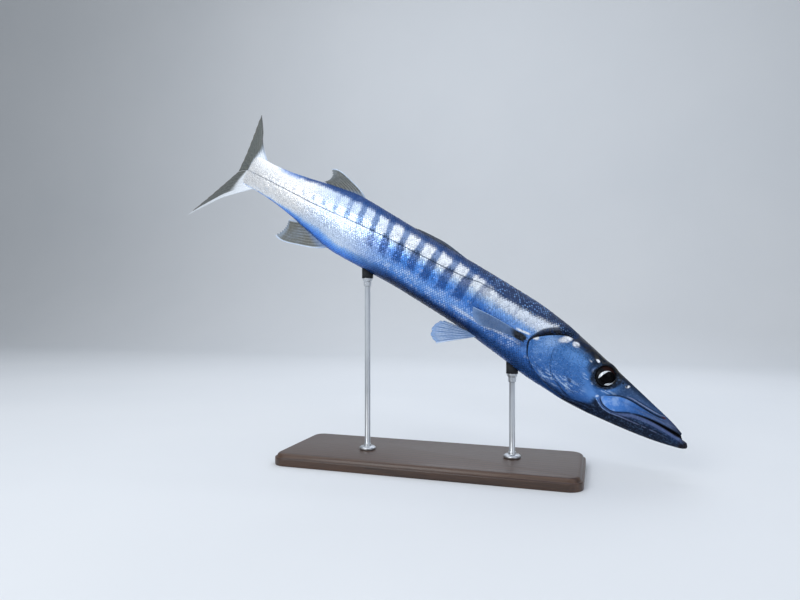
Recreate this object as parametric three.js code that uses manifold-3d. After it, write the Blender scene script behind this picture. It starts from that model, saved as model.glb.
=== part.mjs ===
// A barracuda as a still, life-size display model, banked and nose down on a plain stand.
// The fish is modelled straight, in fish space, and then bent along its spine and tilted into place.
// Fish space, in millimetres: x forward with the tip of the upper jaw at 0, y to the fish's left, z up.
// Stations along the fish are shares of its standard length, counted back from the upper jaw's tip.
// The finished part has +Z up, its nose towards +X, and its origin under the middle of the stand's base.

import * as THREE from "three";
import { mergeVertices } from "three/addons/utils/BufferGeometryUtils.js";
import Module from "manifold-3d";

const wasm = await Module();
wasm.setup();

// Driving dimensions
const standardLength = 820; // upper jaw's tip to the root of the tail fin
const touchGap = 0.3; // left between pieces that touch
const wellPast = 60; // further out than any skin, for cuts from outside
const pose = {
  pitchDown: 31.3, // degrees
  bank: -4.3, // the back leans to the fish's left
  swimBend: -11.7, // turn of the heading from nose to tail root, even part
  swimCurve: -45, // and the part that grows towards both ends
  backArch: 6.1,
  tailFlick: -21, // extra turn of the tail fin
  tailTwist: 7.5,
  tailDroop: 4.5,
  flickFrom: 0.965,
  flickTo: 1.06,
  midHeight: 288, // of the spine's middle above the floor
  midForward: 22, // of the spine's middle, ahead of the base's centre
};

// Body sections: station, back, belly, half width, level of the greatest width, squareness above and below.
// Heights and widths are shares of the standard length.
const bodySections = [
  [-0.0195, -0.0085, -0.0128, 0.0022, -0.0107, 2.0, 2.0],
  [-0.015, -0.0042, -0.0165, 0.0052, -0.0108, 2.0, 2.0],
  [0.0, 0.0045, -0.023, 0.0086, -0.0105, 2.1, 2.1],
  [0.03, 0.0132, -0.0334, 0.0128, -0.0112, 2.5, 2.1],
  [0.075, 0.021, -0.0452, 0.0182, -0.0128, 2.8, 2.1],
  [0.12, 0.0285, -0.0545, 0.0235, -0.0125, 3.8, 2.1],
  [0.16, 0.0357, -0.0618, 0.028, -0.0095, 6.0, 2.1],
  [0.205, 0.0442, -0.0663, 0.033, -0.007, 4.0, 2.2],
  [0.265, 0.0547, -0.067, 0.0385, -0.003, 2.7, 2.2],
  [0.34, 0.0602, -0.062, 0.0408, 0.0, 2.2, 2.1],
  [0.45, 0.06, -0.0568, 0.0408, 0.002, 2.1, 2.1],
  [0.56, 0.0588, -0.0566, 0.0402, 0.002, 2.1, 2.1],
  [0.65, 0.0605, -0.0598, 0.0386, 0.001, 2.1, 2.1],
  [0.72, 0.0618, -0.0622, 0.0354, 0.0, 2.1, 2.1],
  [0.79, 0.0535, -0.053, 0.0288, 0.0, 2.1, 2.1],
  [0.85, 0.043, -0.0425, 0.0224, 0.0, 2.1, 2.1],
  [0.91, 0.0352, -0.0356, 0.0174, 0.0, 2.1, 2.1],
  [0.955, 0.033, -0.0333, 0.0138, 0.0, 2.1, 2.1],
  [0.985, 0.034, -0.034, 0.0088, 0.0, 2.1, 2.1],
  [1.008, 0.034, -0.034, 0.0036, 0.0, 2.1, 2.1],
];

const eye = {
  station: 0.16,
  level: 0.0135,
  radius: 15.2,
  dome: 6.6, // height of the cornea over its rim
  depth: 5, // of the eye behind its rim
  rimInset: 3.6, // of the rim's plane behind the skin at the eye's centre
  tiltUp: 8,
  tiltForward: 10,
  sides: 28,
  // the fleshy rim round the socket
  orbitRadius: 16.6,
  orbitThick: 2.2,
  orbitSunk: 2.2, // of the rim's middle behind the skin
  orbitSides: 6,
  socketFlare: 3, // widening of the socket over its first socketRise
  socketRise: 8,
};

const mouth = {
  // the line between the jaws, station and level, back to the jaw's joint and down through the throat
  line: [
    [-0.035, -0.0018],
    [0.0, -0.0022],
    [0.03, -0.0042],
    [0.055, -0.0076],
    [0.084, -0.0138],
    [0.101, -0.0238],
    [0.117, -0.0306],
    [0.136, -0.0322],
    [0.147, -0.0375],
    [0.157, -0.07],
  ],
  gape: 4.6, // opening between the jaws at the front
  gapeFrom: -0.005, // stations between which the opening closes
  gapeTo: 0.088,
  jawEnd: 0.156,
  core: 0.42, // share of the half width left solid between the jaws,
  coreRise: 0.04, // reached over this far,
  leastCore: 0.6, // from this width
  lipRise: 0.6,
  lipWidth: 1.5,
};

const maxilla = {
  outline: [
    [0.04, 0.0092],
    [0.062, 0.0052],
    [0.084, 0.0025],
    [0.108, -0.0008],
    [0.128, -0.0055],
    [0.143, -0.0148],
    [0.1455, -0.0215],
    [0.139, -0.0282],
    [0.127, -0.0302],
    [0.114, -0.0285],
    [0.1, -0.0205],
    [0.084, -0.0108],
    [0.06, -0.0052],
    [0.045, -0.0022],
  ],
  thick: 2.4,
  rise: 0.8,
};

const gillCover = {
  outline: [
    [0.2385, 0.0305],
    [0.262, 0.0275],
    [0.284, 0.0165],
    [0.2985, 0.0035],
    [0.3035, -0.004],
    [0.3015, -0.016],
    [0.292, -0.0315],
    [0.2745, -0.0445],
    [0.252, -0.0535],
    [0.225, -0.0572],
    [0.206, -0.053],
    [0.217, -0.0445],
    [0.239, -0.033],
    [0.25, -0.0165],
    [0.2535, 0.002],
    [0.2465, 0.018],
  ],
  thick: 3,
  rise: 1.3,
};

const nostrils = [
  { station: 0.1205, level: 0.0192, radius: 1.7 },
  { station: 0.1285, level: 0.0205, radius: 1.3 },
];

// Fins on the middle plane: the base line runs along the back or belly between two stations, and each ray
// runs from it to the rim line. A ray bows by so much on the first ray, and by bowEnd of that on the last.
const ray = { root: 1.9, tip: 1.0, web: 0.75, sunk: 0.007 };
const medianFins = {
  dorsal_fin_first: {
    up: 1,
    rays: 5,
    rows: 6,
    base: [0.449, 0.535],
    rim: [
      [0.545, 0.0652],
      [0.571, 0.0638],
      [0.589, 0.0622],
      [0.602, 0.06],
    ],
    bow: 0.0025,
    bowEnd: 0.3,
  },
  dorsal_fin_second: {
    up: 1,
    rays: 10,
    rows: 7,
    base: [0.7113, 0.792],
    rim: [
      [0.8171, 0.0811],
      [0.8085, 0.0705],
      [0.809, 0.0612],
      [0.8175, 0.0515],
    ],
    bow: 0.0115,
    bowEnd: 0.1,
  },
  anal_fin: {
    up: -1,
    rays: 10,
    rows: 7,
    base: [0.734, 0.82],
    rim: [
      [0.8613, -0.0938],
      [0.8505, -0.0778],
      [0.847, -0.0642],
      [0.8495, -0.0505],
    ],
    bow: 0.0122,
    bowEnd: 0.1,
  },
};
const tailFin = {
  rays: 9,
  rows: 7,
  rootThick: 2.4,
  bow: 0.012,
  lobes: {
    tail_fin_upper: {
      up: 1,
      base: [
        [0.968, 0.0325],
        [0.985, 0.0285],
        [1.0, 0.015],
        [1.0035, 0.0002],
      ],
      rim: [
        [1.1815, 0.1505],
        [1.115, 0.0905],
        [1.073, 0.0375],
        [1.047, -0.0125],
      ],
    },
    tail_fin_lower: {
      up: -1,
      base: [
        [0.968, -0.0325],
        [0.985, -0.0285],
        [1.0, -0.015],
        [1.0035, -0.0008],
      ],
      rim: [
        [1.196, -0.15],
        [1.127, -0.0965],
        [1.083, -0.0545],
        [1.047, -0.0137],
      ],
    },
  },
};
const pectoralFin = {
  rays: 11,
  rows: 5,
  station: 0.316,
  level: -0.0105,
  baseHeight: 9,
  baseLean: 20, // of the base line from upright, degrees
  sunk: 5,
  lengths: [86, 84, 79, 68], // of the rays, from the top one to the lowest
  spread: [2, 5.5, 8.5, 11], // their angles below the body's axis
  flare: 7, // away from the body's side
  bow: 3,
  arch: 2.5, // the rays arch upwards
};
const pelvicFin = {
  rays: 6,
  rows: 5,
  station: 0.392,
  level: -0.0525,
  side: 0.0125,
  baseLength: 9,
  sunk: 7,
  lengths: [67, 72, 67, 54], // from the outer ray to the inner one
  spread: [47, 37, 26, 14], // their angles below the body's axis
  flare: 30,
  bow: 3,
  arch: 0,
};

const stand = {
  baseLength: 470,
  baseWidth: 170,
  baseThick: 18,
  baseCorner: 22,
  baseBevel: 2.5,
  rodStations: [0.305, 0.64],
  rodRadius: 4.5,
  flangeRadius: 13,
  flangeThick: 5,
  socketDepth: 12,
  padRadius: 9,
  padHeight: 12,
};

const rad = THREE.MathUtils.degToRad;
const smooth = (from, to, v) => THREE.MathUtils.smoothstep(v, from, to);
const mix = THREE.MathUtils.lerp;
const unmix = THREE.MathUtils.inverseLerp;
const signedPower = (v, p) => Math.sign(v) * Math.abs(v) ** p;

// A smooth curve through a table's rows, column by column, that doesn't overshoot between them.
function throughRows(rows, column) {
  const t = rows.map((r) => r[0]);
  const v = rows.map((r) => r[column]);
  const slope = t.slice(1).map((next, i) => (v[i + 1] - v[i]) / (next - t[i]));
  const tangent = t.map((_, i) => {
    if (i === 0) return slope[0];
    if (i === t.length - 1) return slope[i - 1];
    const [a, b] = [slope[i - 1], slope[i]];
    return a * b <= 0 ? 0 : (2 * a * b) / (a + b);
  });
  return (at) => {
    if (at <= t[0]) return v[0];
    if (at >= t[t.length - 1]) return v[v.length - 1];
    const i = t.findIndex((next) => next > at) - 1;
    const h = t[i + 1] - t[i];
    const s = (at - t[i]) / h;
    const keep = (1 + 2 * s) * (1 - s) ** 2 * v[i] + s * s * (3 - 2 * s) * v[i + 1];
    return keep + s * (1 - s) ** 2 * h * tangent[i] + s * s * (s - 1) * h * tangent[i + 1];
  };
}

const sectionCurves = [1, 2, 3, 4, 5, 6].map((c) => throughRows(bodySections, c));
const sectionAt = (t) => sectionCurves.map((curve) => curve(t));
const mouthLevel = throughRows(mouth.line, 1);
const gapeAt = (t) => mix(mouth.gape, 0, THREE.MathUtils.clamp(unmix(mouth.gapeFrom, mouth.gapeTo, t), 0, 1));

// Half width of the body at a station and level.
function halfWidthAt(t, level) {
  const [back, belly, half, widest, squareUp, squareDown] = sectionAt(t);
  const above = level > widest;
  const reach = (level - widest) / (above ? back - widest : belly - widest);
  const square = above ? squareUp : squareDown;
  return half * Math.max(0, 1 - Math.abs(reach) ** square) ** (1 / square) * standardLength;
}

// How far the lips stand out from the head's skin, in millimetres.
function lipRelief(t, z) {
  const atMouth = 1 - smooth(mouth.gapeTo - 0.01, mouth.gapeTo + 0.01, t);
  const offLine = Math.abs(z - mouthLevel(t) * standardLength) - gapeAt(t) / 2 - mouth.lipWidth;
  return Math.exp(-((offLine / mouth.lipWidth) ** 2)) * atMouth * mouth.lipRise;
}

// A point of the skin at a station and an angle from the back (0) over the left side to the belly (half a turn).
function skinPoint(t, angle, grow = 0) {
  const [back, belly, half, widest, squareUp, squareDown] = sectionAt(t).map((v, i) =>
    i < 4 ? v * standardLength : v,
  );
  const c = Math.cos(angle);
  const s = Math.sin(angle);
  const square = c > 0 ? squareUp : squareDown;
  const height = c > 0 ? back - widest : widest - belly;
  const across = signedPower(s, 2 / square);
  const upward = signedPower(c, 2 / square);
  const normal = new THREE.Vector2(
    signedPower(across, square - 1) / half,
    signedPower(upward, square - 1) / height,
  ).normalize();
  const z = widest + height * upward;
  const out = grow + lipRelief(t, z);
  return new THREE.Vector3(-t * standardLength, half * across + normal.x * out, z + normal.y * out);
}

// Closed solids from rings of points: sides between the rings, and a fan on each end.
function loft(rings, startTip, endTip) {
  const across = rings[0].length;
  const middle = (ring) => ring.reduce((sum, p) => sum.add(p), new THREE.Vector3()).divideScalar(across);
  const points = [...rings.flat(), startTip ?? middle(rings[0]), endTip ?? middle(rings.at(-1))];
  const at = (i, j) => i * across + (j % across);
  const faces = [];
  for (let j = 0; j < across; j++) {
    for (let i = 0; i < rings.length - 1; i++) {
      faces.push(at(i, j), at(i + 1, j), at(i + 1, j + 1), at(i, j), at(i + 1, j + 1), at(i, j + 1));
    }
    faces.push(points.length - 2, at(0, j), at(0, j + 1));
    faces.push(points.length - 1, at(rings.length - 1, j + 1), at(rings.length - 1, j));
  }
  return new THREE.BufferGeometry().setFromPoints(points).setIndex(faces);
}

// A three.js geometry as a solid for cutting and joining, turned the right way out.
function solidFrom(geometry) {
  const bare = geometry.clone();
  bare.deleteAttribute("normal");
  bare.deleteAttribute("uv");
  const merged = mergeVertices(bare, 1e-4);
  const vertProperties = Float32Array.from(merged.attributes.position.array);
  const triVerts = Uint32Array.from(merged.index.array);
  const made = new wasm.Manifold(new wasm.Mesh({ numProp: 3, vertProperties, triVerts }));
  if (made.volume() > 0) return made;
  for (let i = 0; i < triVerts.length; i += 3) {
    [triVerts[i + 1], triVerts[i + 2]] = [triVerts[i + 2], triVerts[i + 1]];
  }
  return new wasm.Manifold(new wasm.Mesh({ numProp: 3, vertProperties, triVerts }));
}

// Only the largest closed piece of a cut solid.
function largest(solid) {
  return solid.decompose().reduce((best, next) => (next.volume() > best.volume() ? next : best));
}

function geometryFrom(solid) {
  const mesh = solid.getMesh();
  const positions = new Float32Array(mesh.numVert * 3);
  for (let i = 0; i < mesh.numVert; i++) {
    positions.set(mesh.vertProperties.subarray(i * mesh.numProp, i * mesh.numProp + 3), i * 3);
  }
  return new THREE.BufferGeometry()
    .setAttribute("position", new THREE.BufferAttribute(positions, 3))
    .setIndex(new THREE.BufferAttribute(mesh.triVerts.slice(), 1));
}

function mirrored(geometry) {
  const copy = geometry.clone();
  copy.scale(1, -1, 1);
  return copy;
}

// Stations from one to another, closer together where pitch says so.
function stationsBetween(from, to, count, ease = 1) {
  return Array.from({ length: count + 1 }, (_, i) => mix(from, to, (i / count) ** ease));
}

// A length of the body as a closed tube.
function bodyTube(stations, around, grow = 0, startTip) {
  const rings = stations.map((t) =>
    Array.from({ length: around }, (_, j) => skinPoint(t, ((j + 0.5) / around) * 2 * Math.PI, grow)),
  );
  return loft(rings, startTip);
}

// A flat outline of stations and levels, smoothed, grown outwards, and pushed through one side of the fish.
function sidePrism(outline, grow, side) {
  const control = outline.map(([t, level]) => new THREE.Vector3(-t * standardLength, level * standardLength, 0));
  const curve = new THREE.CatmullRomCurve3(control, true, "centripetal");
  const count = Math.round(outline.length * 1.5);
  const points = Array.from({ length: count }, (_, i) => curve.getPoint(i / count));
  const turn = Math.sign(THREE.ShapeUtils.area(points));
  const grown = points.map((p, i) => {
    const ahead = points[(i + 1) % count].clone().sub(points[(i + count - 1) % count]).normalize();
    return new THREE.Vector2(p.x + ahead.y * grow * turn, p.y - ahead.x * grow * turn);
  });
  const prism = new THREE.ExtrudeGeometry(new THREE.Shape(grown), { depth: wellPast, bevelEnabled: false });
  prism.rotateX(Math.PI / 2);
  if (side > 0) prism.translate(0, wellPast, 0);
  return solidFrom(prism);
}

// A band along the mouth's line, from inner to outer across the fish, as thick as asked at each station.
function mouthBand(inner, outer, thicknessAt, to) {
  const from = mouth.line[0][0];
  const steps = Math.round((to - from) * 110);
  const rings = stationsBetween(from, to, steps).map((t) => {
    const x = -t * standardLength;
    const z = mouthLevel(t) * standardLength;
    const half = thicknessAt(t) / 2;
    return [
      new THREE.Vector3(x, inner(t), z + half),
      new THREE.Vector3(x, outer, z + half),
      new THREE.Vector3(x, outer, z - half),
      new THREE.Vector3(x, inner(t), z - half),
    ];
  });
  return solidFrom(loft(rings));
}

// The cut between the jaws: thin all the way through, and open in from each side.
function jawCut() {
  const steepness = (t) => Math.hypot(1, (mouthLevel(t + 0.002) - mouthLevel(t - 0.002)) / 0.004);
  const thin = (t) => touchGap * steepness(t);
  const open = (t) => Math.max(gapeAt(t), thin(t));
  const core = (t) => {
    const widening = smooth(mouth.gapeFrom, mouth.gapeFrom + mouth.coreRise, t);
    return Math.max(mouth.leastCore, halfWidthAt(t, mouthLevel(t)) * mouth.core * widening);
  };
  const through = mouthBand(() => -wellPast, wellPast, thin, mouth.jawEnd);
  const left = mouthBand(core, wellPast, open, mouth.gapeTo);
  const right = mouthBand((t) => -core(t), -wellPast, open, mouth.gapeTo);
  return through.add(left).add(right);
}

// Turns a piece made about the y axis to face out of the head, and sets it so far behind the skin.
function setInSocket(geometry, side, inset) {
  if (side < 0) geometry.rotateX(Math.PI);
  geometry.rotateX(rad(eye.tiltUp * side));
  geometry.rotateZ(rad(-eye.tiltForward * side));
  const skin = halfWidthAt(eye.station, eye.level);
  geometry.translate(-eye.station * standardLength, side * (skin - inset), eye.level * standardLength);
  return solidFrom(geometry);
}

// The eye is a lens: a domed front over a round rim, and a shallow body behind it.
function eyeSolid(grow, side) {
  const radius = eye.radius + grow;
  const bend = (eye.radius ** 2 + eye.dome ** 2) / (2 * eye.dome);
  const sweep = Math.asin(eye.radius / bend);
  const steps = 5;
  const profile = [new THREE.Vector2(0, -eye.depth - grow), new THREE.Vector2(radius, -eye.depth - grow)];
  for (let i = 0; i <= steps; i++) {
    const a = sweep * (1 - i / steps);
    profile.push(new THREE.Vector2((bend * Math.sin(a) * radius) / eye.radius, bend * Math.cos(a) - bend + eye.dome));
  }
  return setInSocket(new THREE.LatheGeometry(profile, eye.sides), side, eye.rimInset);
}

// What is cut from the head for the eye: the eye itself, grown, and an opening that widens outwards.
function eyeSocket(side) {
  const mouthRadius = eye.radius + touchGap;
  const opening = new THREE.LatheGeometry(
    [
      new THREE.Vector2(0, -1),
      new THREE.Vector2(mouthRadius, -1),
      new THREE.Vector2(mouthRadius, 0),
      new THREE.Vector2(mouthRadius + eye.socketFlare, eye.socketRise),
      new THREE.Vector2(0, eye.socketRise),
    ],
    eye.sides,
  );
  return eyeSolid(touchGap, side).add(setInSocket(opening, side, eye.rimInset));
}

function orbitRing(side) {
  const ring = new THREE.TorusGeometry(eye.orbitRadius, eye.orbitThick, eye.orbitSides, eye.sides);
  ring.rotateX(Math.PI / 2);
  return setInSocket(ring, side, eye.orbitSunk);
}

// A fin as one closed sheet with its rays raised on both faces.
// u runs from root to rim and v from the first ray to the last.
function finSheet({ rays, rows }, pointAt, normalAt, thickAt) {
  const columns = rays * 2 - 1;
  const points = [];
  for (const side of [1, -1]) {
    for (let j = 0; j < columns; j++) {
      for (let i = 0; i <= rows; i++) {
        const v = j / (columns - 1);
        const u = i / rows;
        const p = pointAt(u, v, j % 2 === 0);
        points.push(p.addScaledVector(normalAt(u, v), (side * thickAt(u, j % 2 === 0)) / 2));
      }
    }
  }
  const at = (side, i, j) => side * columns * (rows + 1) + j * (rows + 1) + i;
  const faces = [];
  const quad = (a, b, c, d) => faces.push(a, b, c, a, c, d);
  for (let j = 0; j < columns - 1; j++) {
    for (let i = 0; i < rows; i++) {
      quad(at(0, i, j), at(0, i + 1, j), at(0, i + 1, j + 1), at(0, i, j + 1));
      const [a, b, c, d] = [at(1, i, j), at(1, i + 1, j), at(1, i + 1, j + 1), at(1, i, j + 1)];
      faces.push(a, c, b, a, d, c);
    }
    quad(at(1, 0, j), at(0, 0, j), at(0, 0, j + 1), at(1, 0, j + 1));
    quad(at(0, rows, j), at(1, rows, j), at(1, rows, j + 1), at(0, rows, j + 1));
  }
  for (let i = 0; i < rows; i++) {
    quad(at(0, i, 0), at(1, i, 0), at(1, i + 1, 0), at(0, i + 1, 0));
    const last = columns - 1;
    quad(at(1, i, last), at(0, i, last), at(0, i + 1, last), at(1, i + 1, last));
  }
  return new THREE.BufferGeometry().setFromPoints(points).setIndex(faces);
}

const rayThickness = (u, onRay) => (onRay ? mix(ray.root, ray.tip, u) : mix(ray.web * 1.25, ray.web, u));
const lineCurve = (points) =>
  new THREE.CatmullRomCurve3(
    points.map(([t, level]) => new THREE.Vector3(-t * standardLength, 0, level * standardLength)),
    false,
    "centripetal",
  );
const sideways = new THREE.Vector3(0, 1, 0);
// How far a bowed ray has left its chord, from 0 at both ends to 1 along its middle.
const bowed = (u) => 1 - (2 * u - 1) ** 4;
// The web falls a little short of the ray tips.
const webReach = (u, onRay) => (onRay ? u : u * (1 - 0.035 * u));

// A fin along the back or the belly.
function medianFin(form) {
  const baseAt = (v) => {
    const t = mix(form.base[0], form.base[1], v);
    const skin = sectionAt(t)[form.up > 0 ? 0 : 1];
    return new THREE.Vector3(-t * standardLength, 0, (skin - form.up * ray.sunk) * standardLength);
  };
  const rim = lineCurve(form.rim);
  const pointAt = (u, v, onRay) => {
    const p = baseAt(v).lerp(rim.getPoint(v), webReach(u, onRay));
    p.z += form.up * form.bow * mix(1, form.bowEnd, v) * bowed(u) * standardLength;
    return p;
  };
  return finSheet(form, pointAt, () => sideways, rayThickness);
}

// A lobe of the tail fin, thick at its root.
function tailLobe({ up, base, rim }) {
  const root = lineCurve(base);
  const edge = lineCurve(rim);
  const pointAt = (u, v, onRay) => {
    const p = root.getPoint(v).lerp(edge.getPoint(v), webReach(u, onRay));
    p.z += up * tailFin.bow * (1 - v) * Math.sin(Math.PI * u) * standardLength;
    return p;
  };
  const thickAt = (u, onRay) => rayThickness(u, onRay) + tailFin.rootThick * (1 - smooth(0.03, 0.35, u));
  return finSheet(tailFin, pointAt, () => sideways, thickAt);
}

// A paired fin as a fan of rays: lengths and angles run from the first ray to the last.
function fanFin(form, rootAt, directionAt, normal) {
  const along = (table, v) => {
    const place = v * (table.length - 1);
    const i = Math.min(table.length - 2, Math.floor(place));
    return mix(table[i], table[i + 1], place - i);
  };
  const pointAt = (u, v, onRay) => {
    const direction = directionAt(rad(along(form.spread, v)));
    const reach = (along(form.lengths, v) + form.sunk) * webReach(u, onRay);
    const upward = normal.clone().cross(direction);
    return rootAt(v)
      .addScaledVector(direction, reach - form.sunk)
      .addScaledVector(upward, form.arch * Math.sin(Math.PI * u))
      .addScaledVector(normal, form.bow * Math.sin((Math.PI * u) / 2) ** 2);
  };
  return finSheet(form, pointAt, () => normal, rayThickness);
}

function pectoralSheet() {
  const flare = rad(pectoralFin.flare);
  const skin = halfWidthAt(pectoralFin.station, pectoralFin.level);
  const centre = new THREE.Vector3(
    -pectoralFin.station * standardLength,
    skin - 0.5,
    pectoralFin.level * standardLength,
  );
  const lean = rad(pectoralFin.baseLean);
  const rootAt = (v) => {
    const along = (0.5 - v) * pectoralFin.baseHeight;
    return centre.clone().add(new THREE.Vector3(-Math.sin(lean) * along, 0, Math.cos(lean) * along));
  };
  const directionAt = (down) =>
    new THREE.Vector3(-Math.cos(down) * Math.cos(flare), Math.sin(flare), -Math.sin(down) * Math.cos(flare));
  const normal = new THREE.Vector3(Math.sin(flare), Math.cos(flare), 0);
  return fanFin(pectoralFin, rootAt, directionAt, normal);
}

function pelvicSheet() {
  const flare = rad(pelvicFin.flare);
  const centre = new THREE.Vector3(
    -pelvicFin.station * standardLength,
    pelvicFin.side * standardLength,
    pelvicFin.level * standardLength,
  );
  const rootAt = (v) => centre.clone().add(new THREE.Vector3((0.5 - v) * pelvicFin.baseLength, 0, 0));
  const out = new THREE.Vector3(0, Math.sin(flare), -Math.cos(flare));
  const directionAt = (down) =>
    new THREE.Vector3(-Math.cos(down), 0, 0).addScaledVector(out, Math.sin(down)).normalize();
  const normal = new THREE.Vector3(0, Math.cos(flare), Math.sin(flare));
  return fanFin(pelvicFin, rootAt, directionAt, normal);
}

// The spine in fish space, from the nose past the tail fin, as frames at even steps.
const spineStep = 0.005;
const spineFrom = -0.05;
const spineFrames = (() => {
  const count = Math.round(1.35 / spineStep);
  const middle = Math.round((0.5 - spineFrom) / spineStep);
  const frames = Array.from({ length: count + 1 }, (_, i) => {
    const t = spineFrom + i * spineStep;
    const u = t - 0.5;
    const flick = smooth(pose.flickFrom, pose.flickTo, t);
    const turn = rad(pose.swimBend * u + pose.swimCurve * (u * u - 1 / 12) + pose.tailFlick * flick);
    const climb = rad(pose.backArch * u + pose.tailDroop * flick);
    const twist = rad(pose.tailTwist * flick);
    const forward = new THREE.Vector3(
      Math.cos(turn) * Math.cos(climb),
      Math.sin(turn) * Math.cos(climb),
      Math.sin(climb),
    );
    const flatLeft = new THREE.Vector3(-Math.sin(turn), Math.cos(turn), 0);
    const flatUp = forward.clone().cross(flatLeft);
    const up = flatUp.clone().multiplyScalar(Math.cos(twist)).addScaledVector(flatLeft, Math.sin(twist));
    const left = flatLeft.multiplyScalar(Math.cos(twist)).addScaledVector(flatUp, -Math.sin(twist));
    return { forward, left, up, point: new THREE.Vector3() };
  });
  for (let i = middle + 1; i <= count; i++) {
    frames[i].point.copy(frames[i - 1].point).addScaledVector(frames[i].forward, -spineStep * standardLength);
  }
  for (let i = middle - 1; i >= 0; i--) {
    frames[i].point.copy(frames[i + 1].point).addScaledVector(frames[i].forward, spineStep * standardLength);
  }
  return frames;
})();

// Bends a point of fish space along the spine, tilts the fish, and sets it over the stand.
const tilt = new THREE.Matrix4()
  .makeRotationY(rad(pose.pitchDown))
  .multiply(new THREE.Matrix4().makeRotationX(rad(pose.bank)));
function posed(p) {
  const place = (-p.x / standardLength - spineFrom) / spineStep;
  const i = THREE.MathUtils.clamp(Math.floor(place), 0, spineFrames.length - 2);
  const share = place - i;
  const blend = (part) => spineFrames[i][part].clone().lerp(spineFrames[i + 1][part], share);
  return blend("point")
    .addScaledVector(blend("left"), p.y)
    .addScaledVector(blend("up"), p.z)
    .applyMatrix4(tilt)
    .add(new THREE.Vector3(pose.midForward, 0, pose.midHeight));
}
function posedGeometry(geometry) {
  const position = geometry.attributes.position;
  const p = new THREE.Vector3();
  for (let i = 0; i < position.count; i++) {
    const moved = posed(p.fromBufferAttribute(position, i));
    position.setXYZ(i, moved.x, moved.y, moved.z);
  }
  return geometry;
}

// Colours and finishes
const finish = (color, roughness, metalness = 0) => new THREE.MeshStandardMaterial({ color, roughness, metalness });
const materials = {
  flank: finish("#b4c4d6", 0.32, 0.55),
  head: finish("#8fb0d8", 0.34, 0.45),
  jaw: finish("#7f9cc4", 0.4, 0.3),
  fin: finish("#8d8672", 0.5),
  paleFin: finish("#a9bcd2", 0.45),
  eye: finish("#15161a", 0.08),
  base: finish("#2b2d31", 0.45),
  rod: finish("#b9bcc0", 0.28, 0.9),
};

const barracuda = new THREE.Group();
function addNode(name, geometry, material) {
  geometry.computeVertexNormals();
  const mesh = new THREE.Mesh(geometry, material);
  mesh.name = name;
  barracuda.add(mesh);
}
const addFishNode = (name, solid, material) =>
  addNode(name, posedGeometry(geometryFrom(largest(solid))), material);

// The head, cut whole and then parted along the mouth, with eyes, upper jaw plates and gill covers set in.
const noseTip = new THREE.Vector3(0.0205 * standardLength, 0, -0.0135 * standardLength);
const headEnd = 0.272;
const headAround = 36;
const headStations = [
  ...stationsBetween(bodySections[0][0], 0.13, 17, 1.3),
  ...stationsBetween(0.15, headEnd, 7),
];
// The plates' sections begin behind the snout and run on past the gill cover's rear edge.
const plateStations = [...headStations.filter((t) => t > 0.02), 0.29, 0.31];
const wholeHead = solidFrom(bodyTube(headStations, headAround, 0, noseTip)).add(orbitRing(1)).add(orbitRing(-1));
const jaws = jawCut();
const sides = [
  ["right", -1],
  ["left", 1],
];

// A plate let into the skin on one side, and the recess that takes it.
const wellOver = 9; // over the skin, to cut the recess from
function inlaid(form, side) {
  const outer = solidFrom(bodyTube(plateStations, headAround, form.rise));
  const inner = solidFrom(bodyTube(plateStations, headAround, -form.thick));
  const plate = outer.subtract(inner).intersect(sidePrism(form.outline, 0, side));
  const wide = solidFrom(bodyTube(plateStations, headAround, wellOver));
  const deep = solidFrom(bodyTube(plateStations, headAround, -form.thick - touchGap));
  const recess = wide.subtract(deep).intersect(sidePrism(form.outline, touchGap, side));
  return { plate, recess };
}
const plates = [];
let recesses = null;
for (const [name, side] of sides) {
  const cover = inlaid(gillCover, side);
  const upperLip = inlaid(maxilla, side);
  plates.push([`gill_cover_${name}`, cover.plate, materials.head]);
  plates.push([`upper_jaw_plate_${name}`, upperLip.plate.subtract(jaws), materials.jaw]);
  const both = cover.recess.add(upperLip.recess);
  recesses = recesses ? recesses.add(both) : both;
}

let head = wholeHead.subtract(recesses);
for (const [name, side] of sides) {
  head = head.subtract(eyeSocket(side));
  addFishNode(`eye_${name}`, eyeSolid(0, side), materials.eye);
  for (const { station, level, radius } of nostrils) {
    const pit = new THREE.SphereGeometry(radius, 8, 6);
    const skin = halfWidthAt(station, level);
    pit.translate(-station * standardLength, side * skin, level * standardLength);
    head = head.subtract(solidFrom(pit));
  }
}
const [upperHead, lowerJaw] = head
  .subtract(jaws)
  .decompose()
  .sort((a, b) => b.volume() - a.volume());
addFishNode("head", upperHead, materials.head);
addFishNode("lower_jaw", lowerJaw, materials.jaw);
for (const [name, plate, material] of plates) addFishNode(name, plate, material);

// The trunk and tail stalk, in lengths
const trunkAround = 32;
const tailEnd = 1.008;
const lengths = [
  ["trunk_front", headEnd, 0.455, 9],
  ["trunk_middle", 0.455, 0.66, 7],
  ["trunk_rear", 0.66, 0.875, 9],
  ["tail_stalk", 0.875, tailEnd, 7],
];
const gapShare = touchGap / standardLength;
const trunkStations = [];
for (const [name, from, to, count] of lengths) {
  const stations = stationsBetween(from + gapShare, to, count);
  trunkStations.push(...stations);
  addFishNode(name, solidFrom(bodyTube(stations, trunkAround)).subtract(recesses), materials.flank);
}

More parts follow.
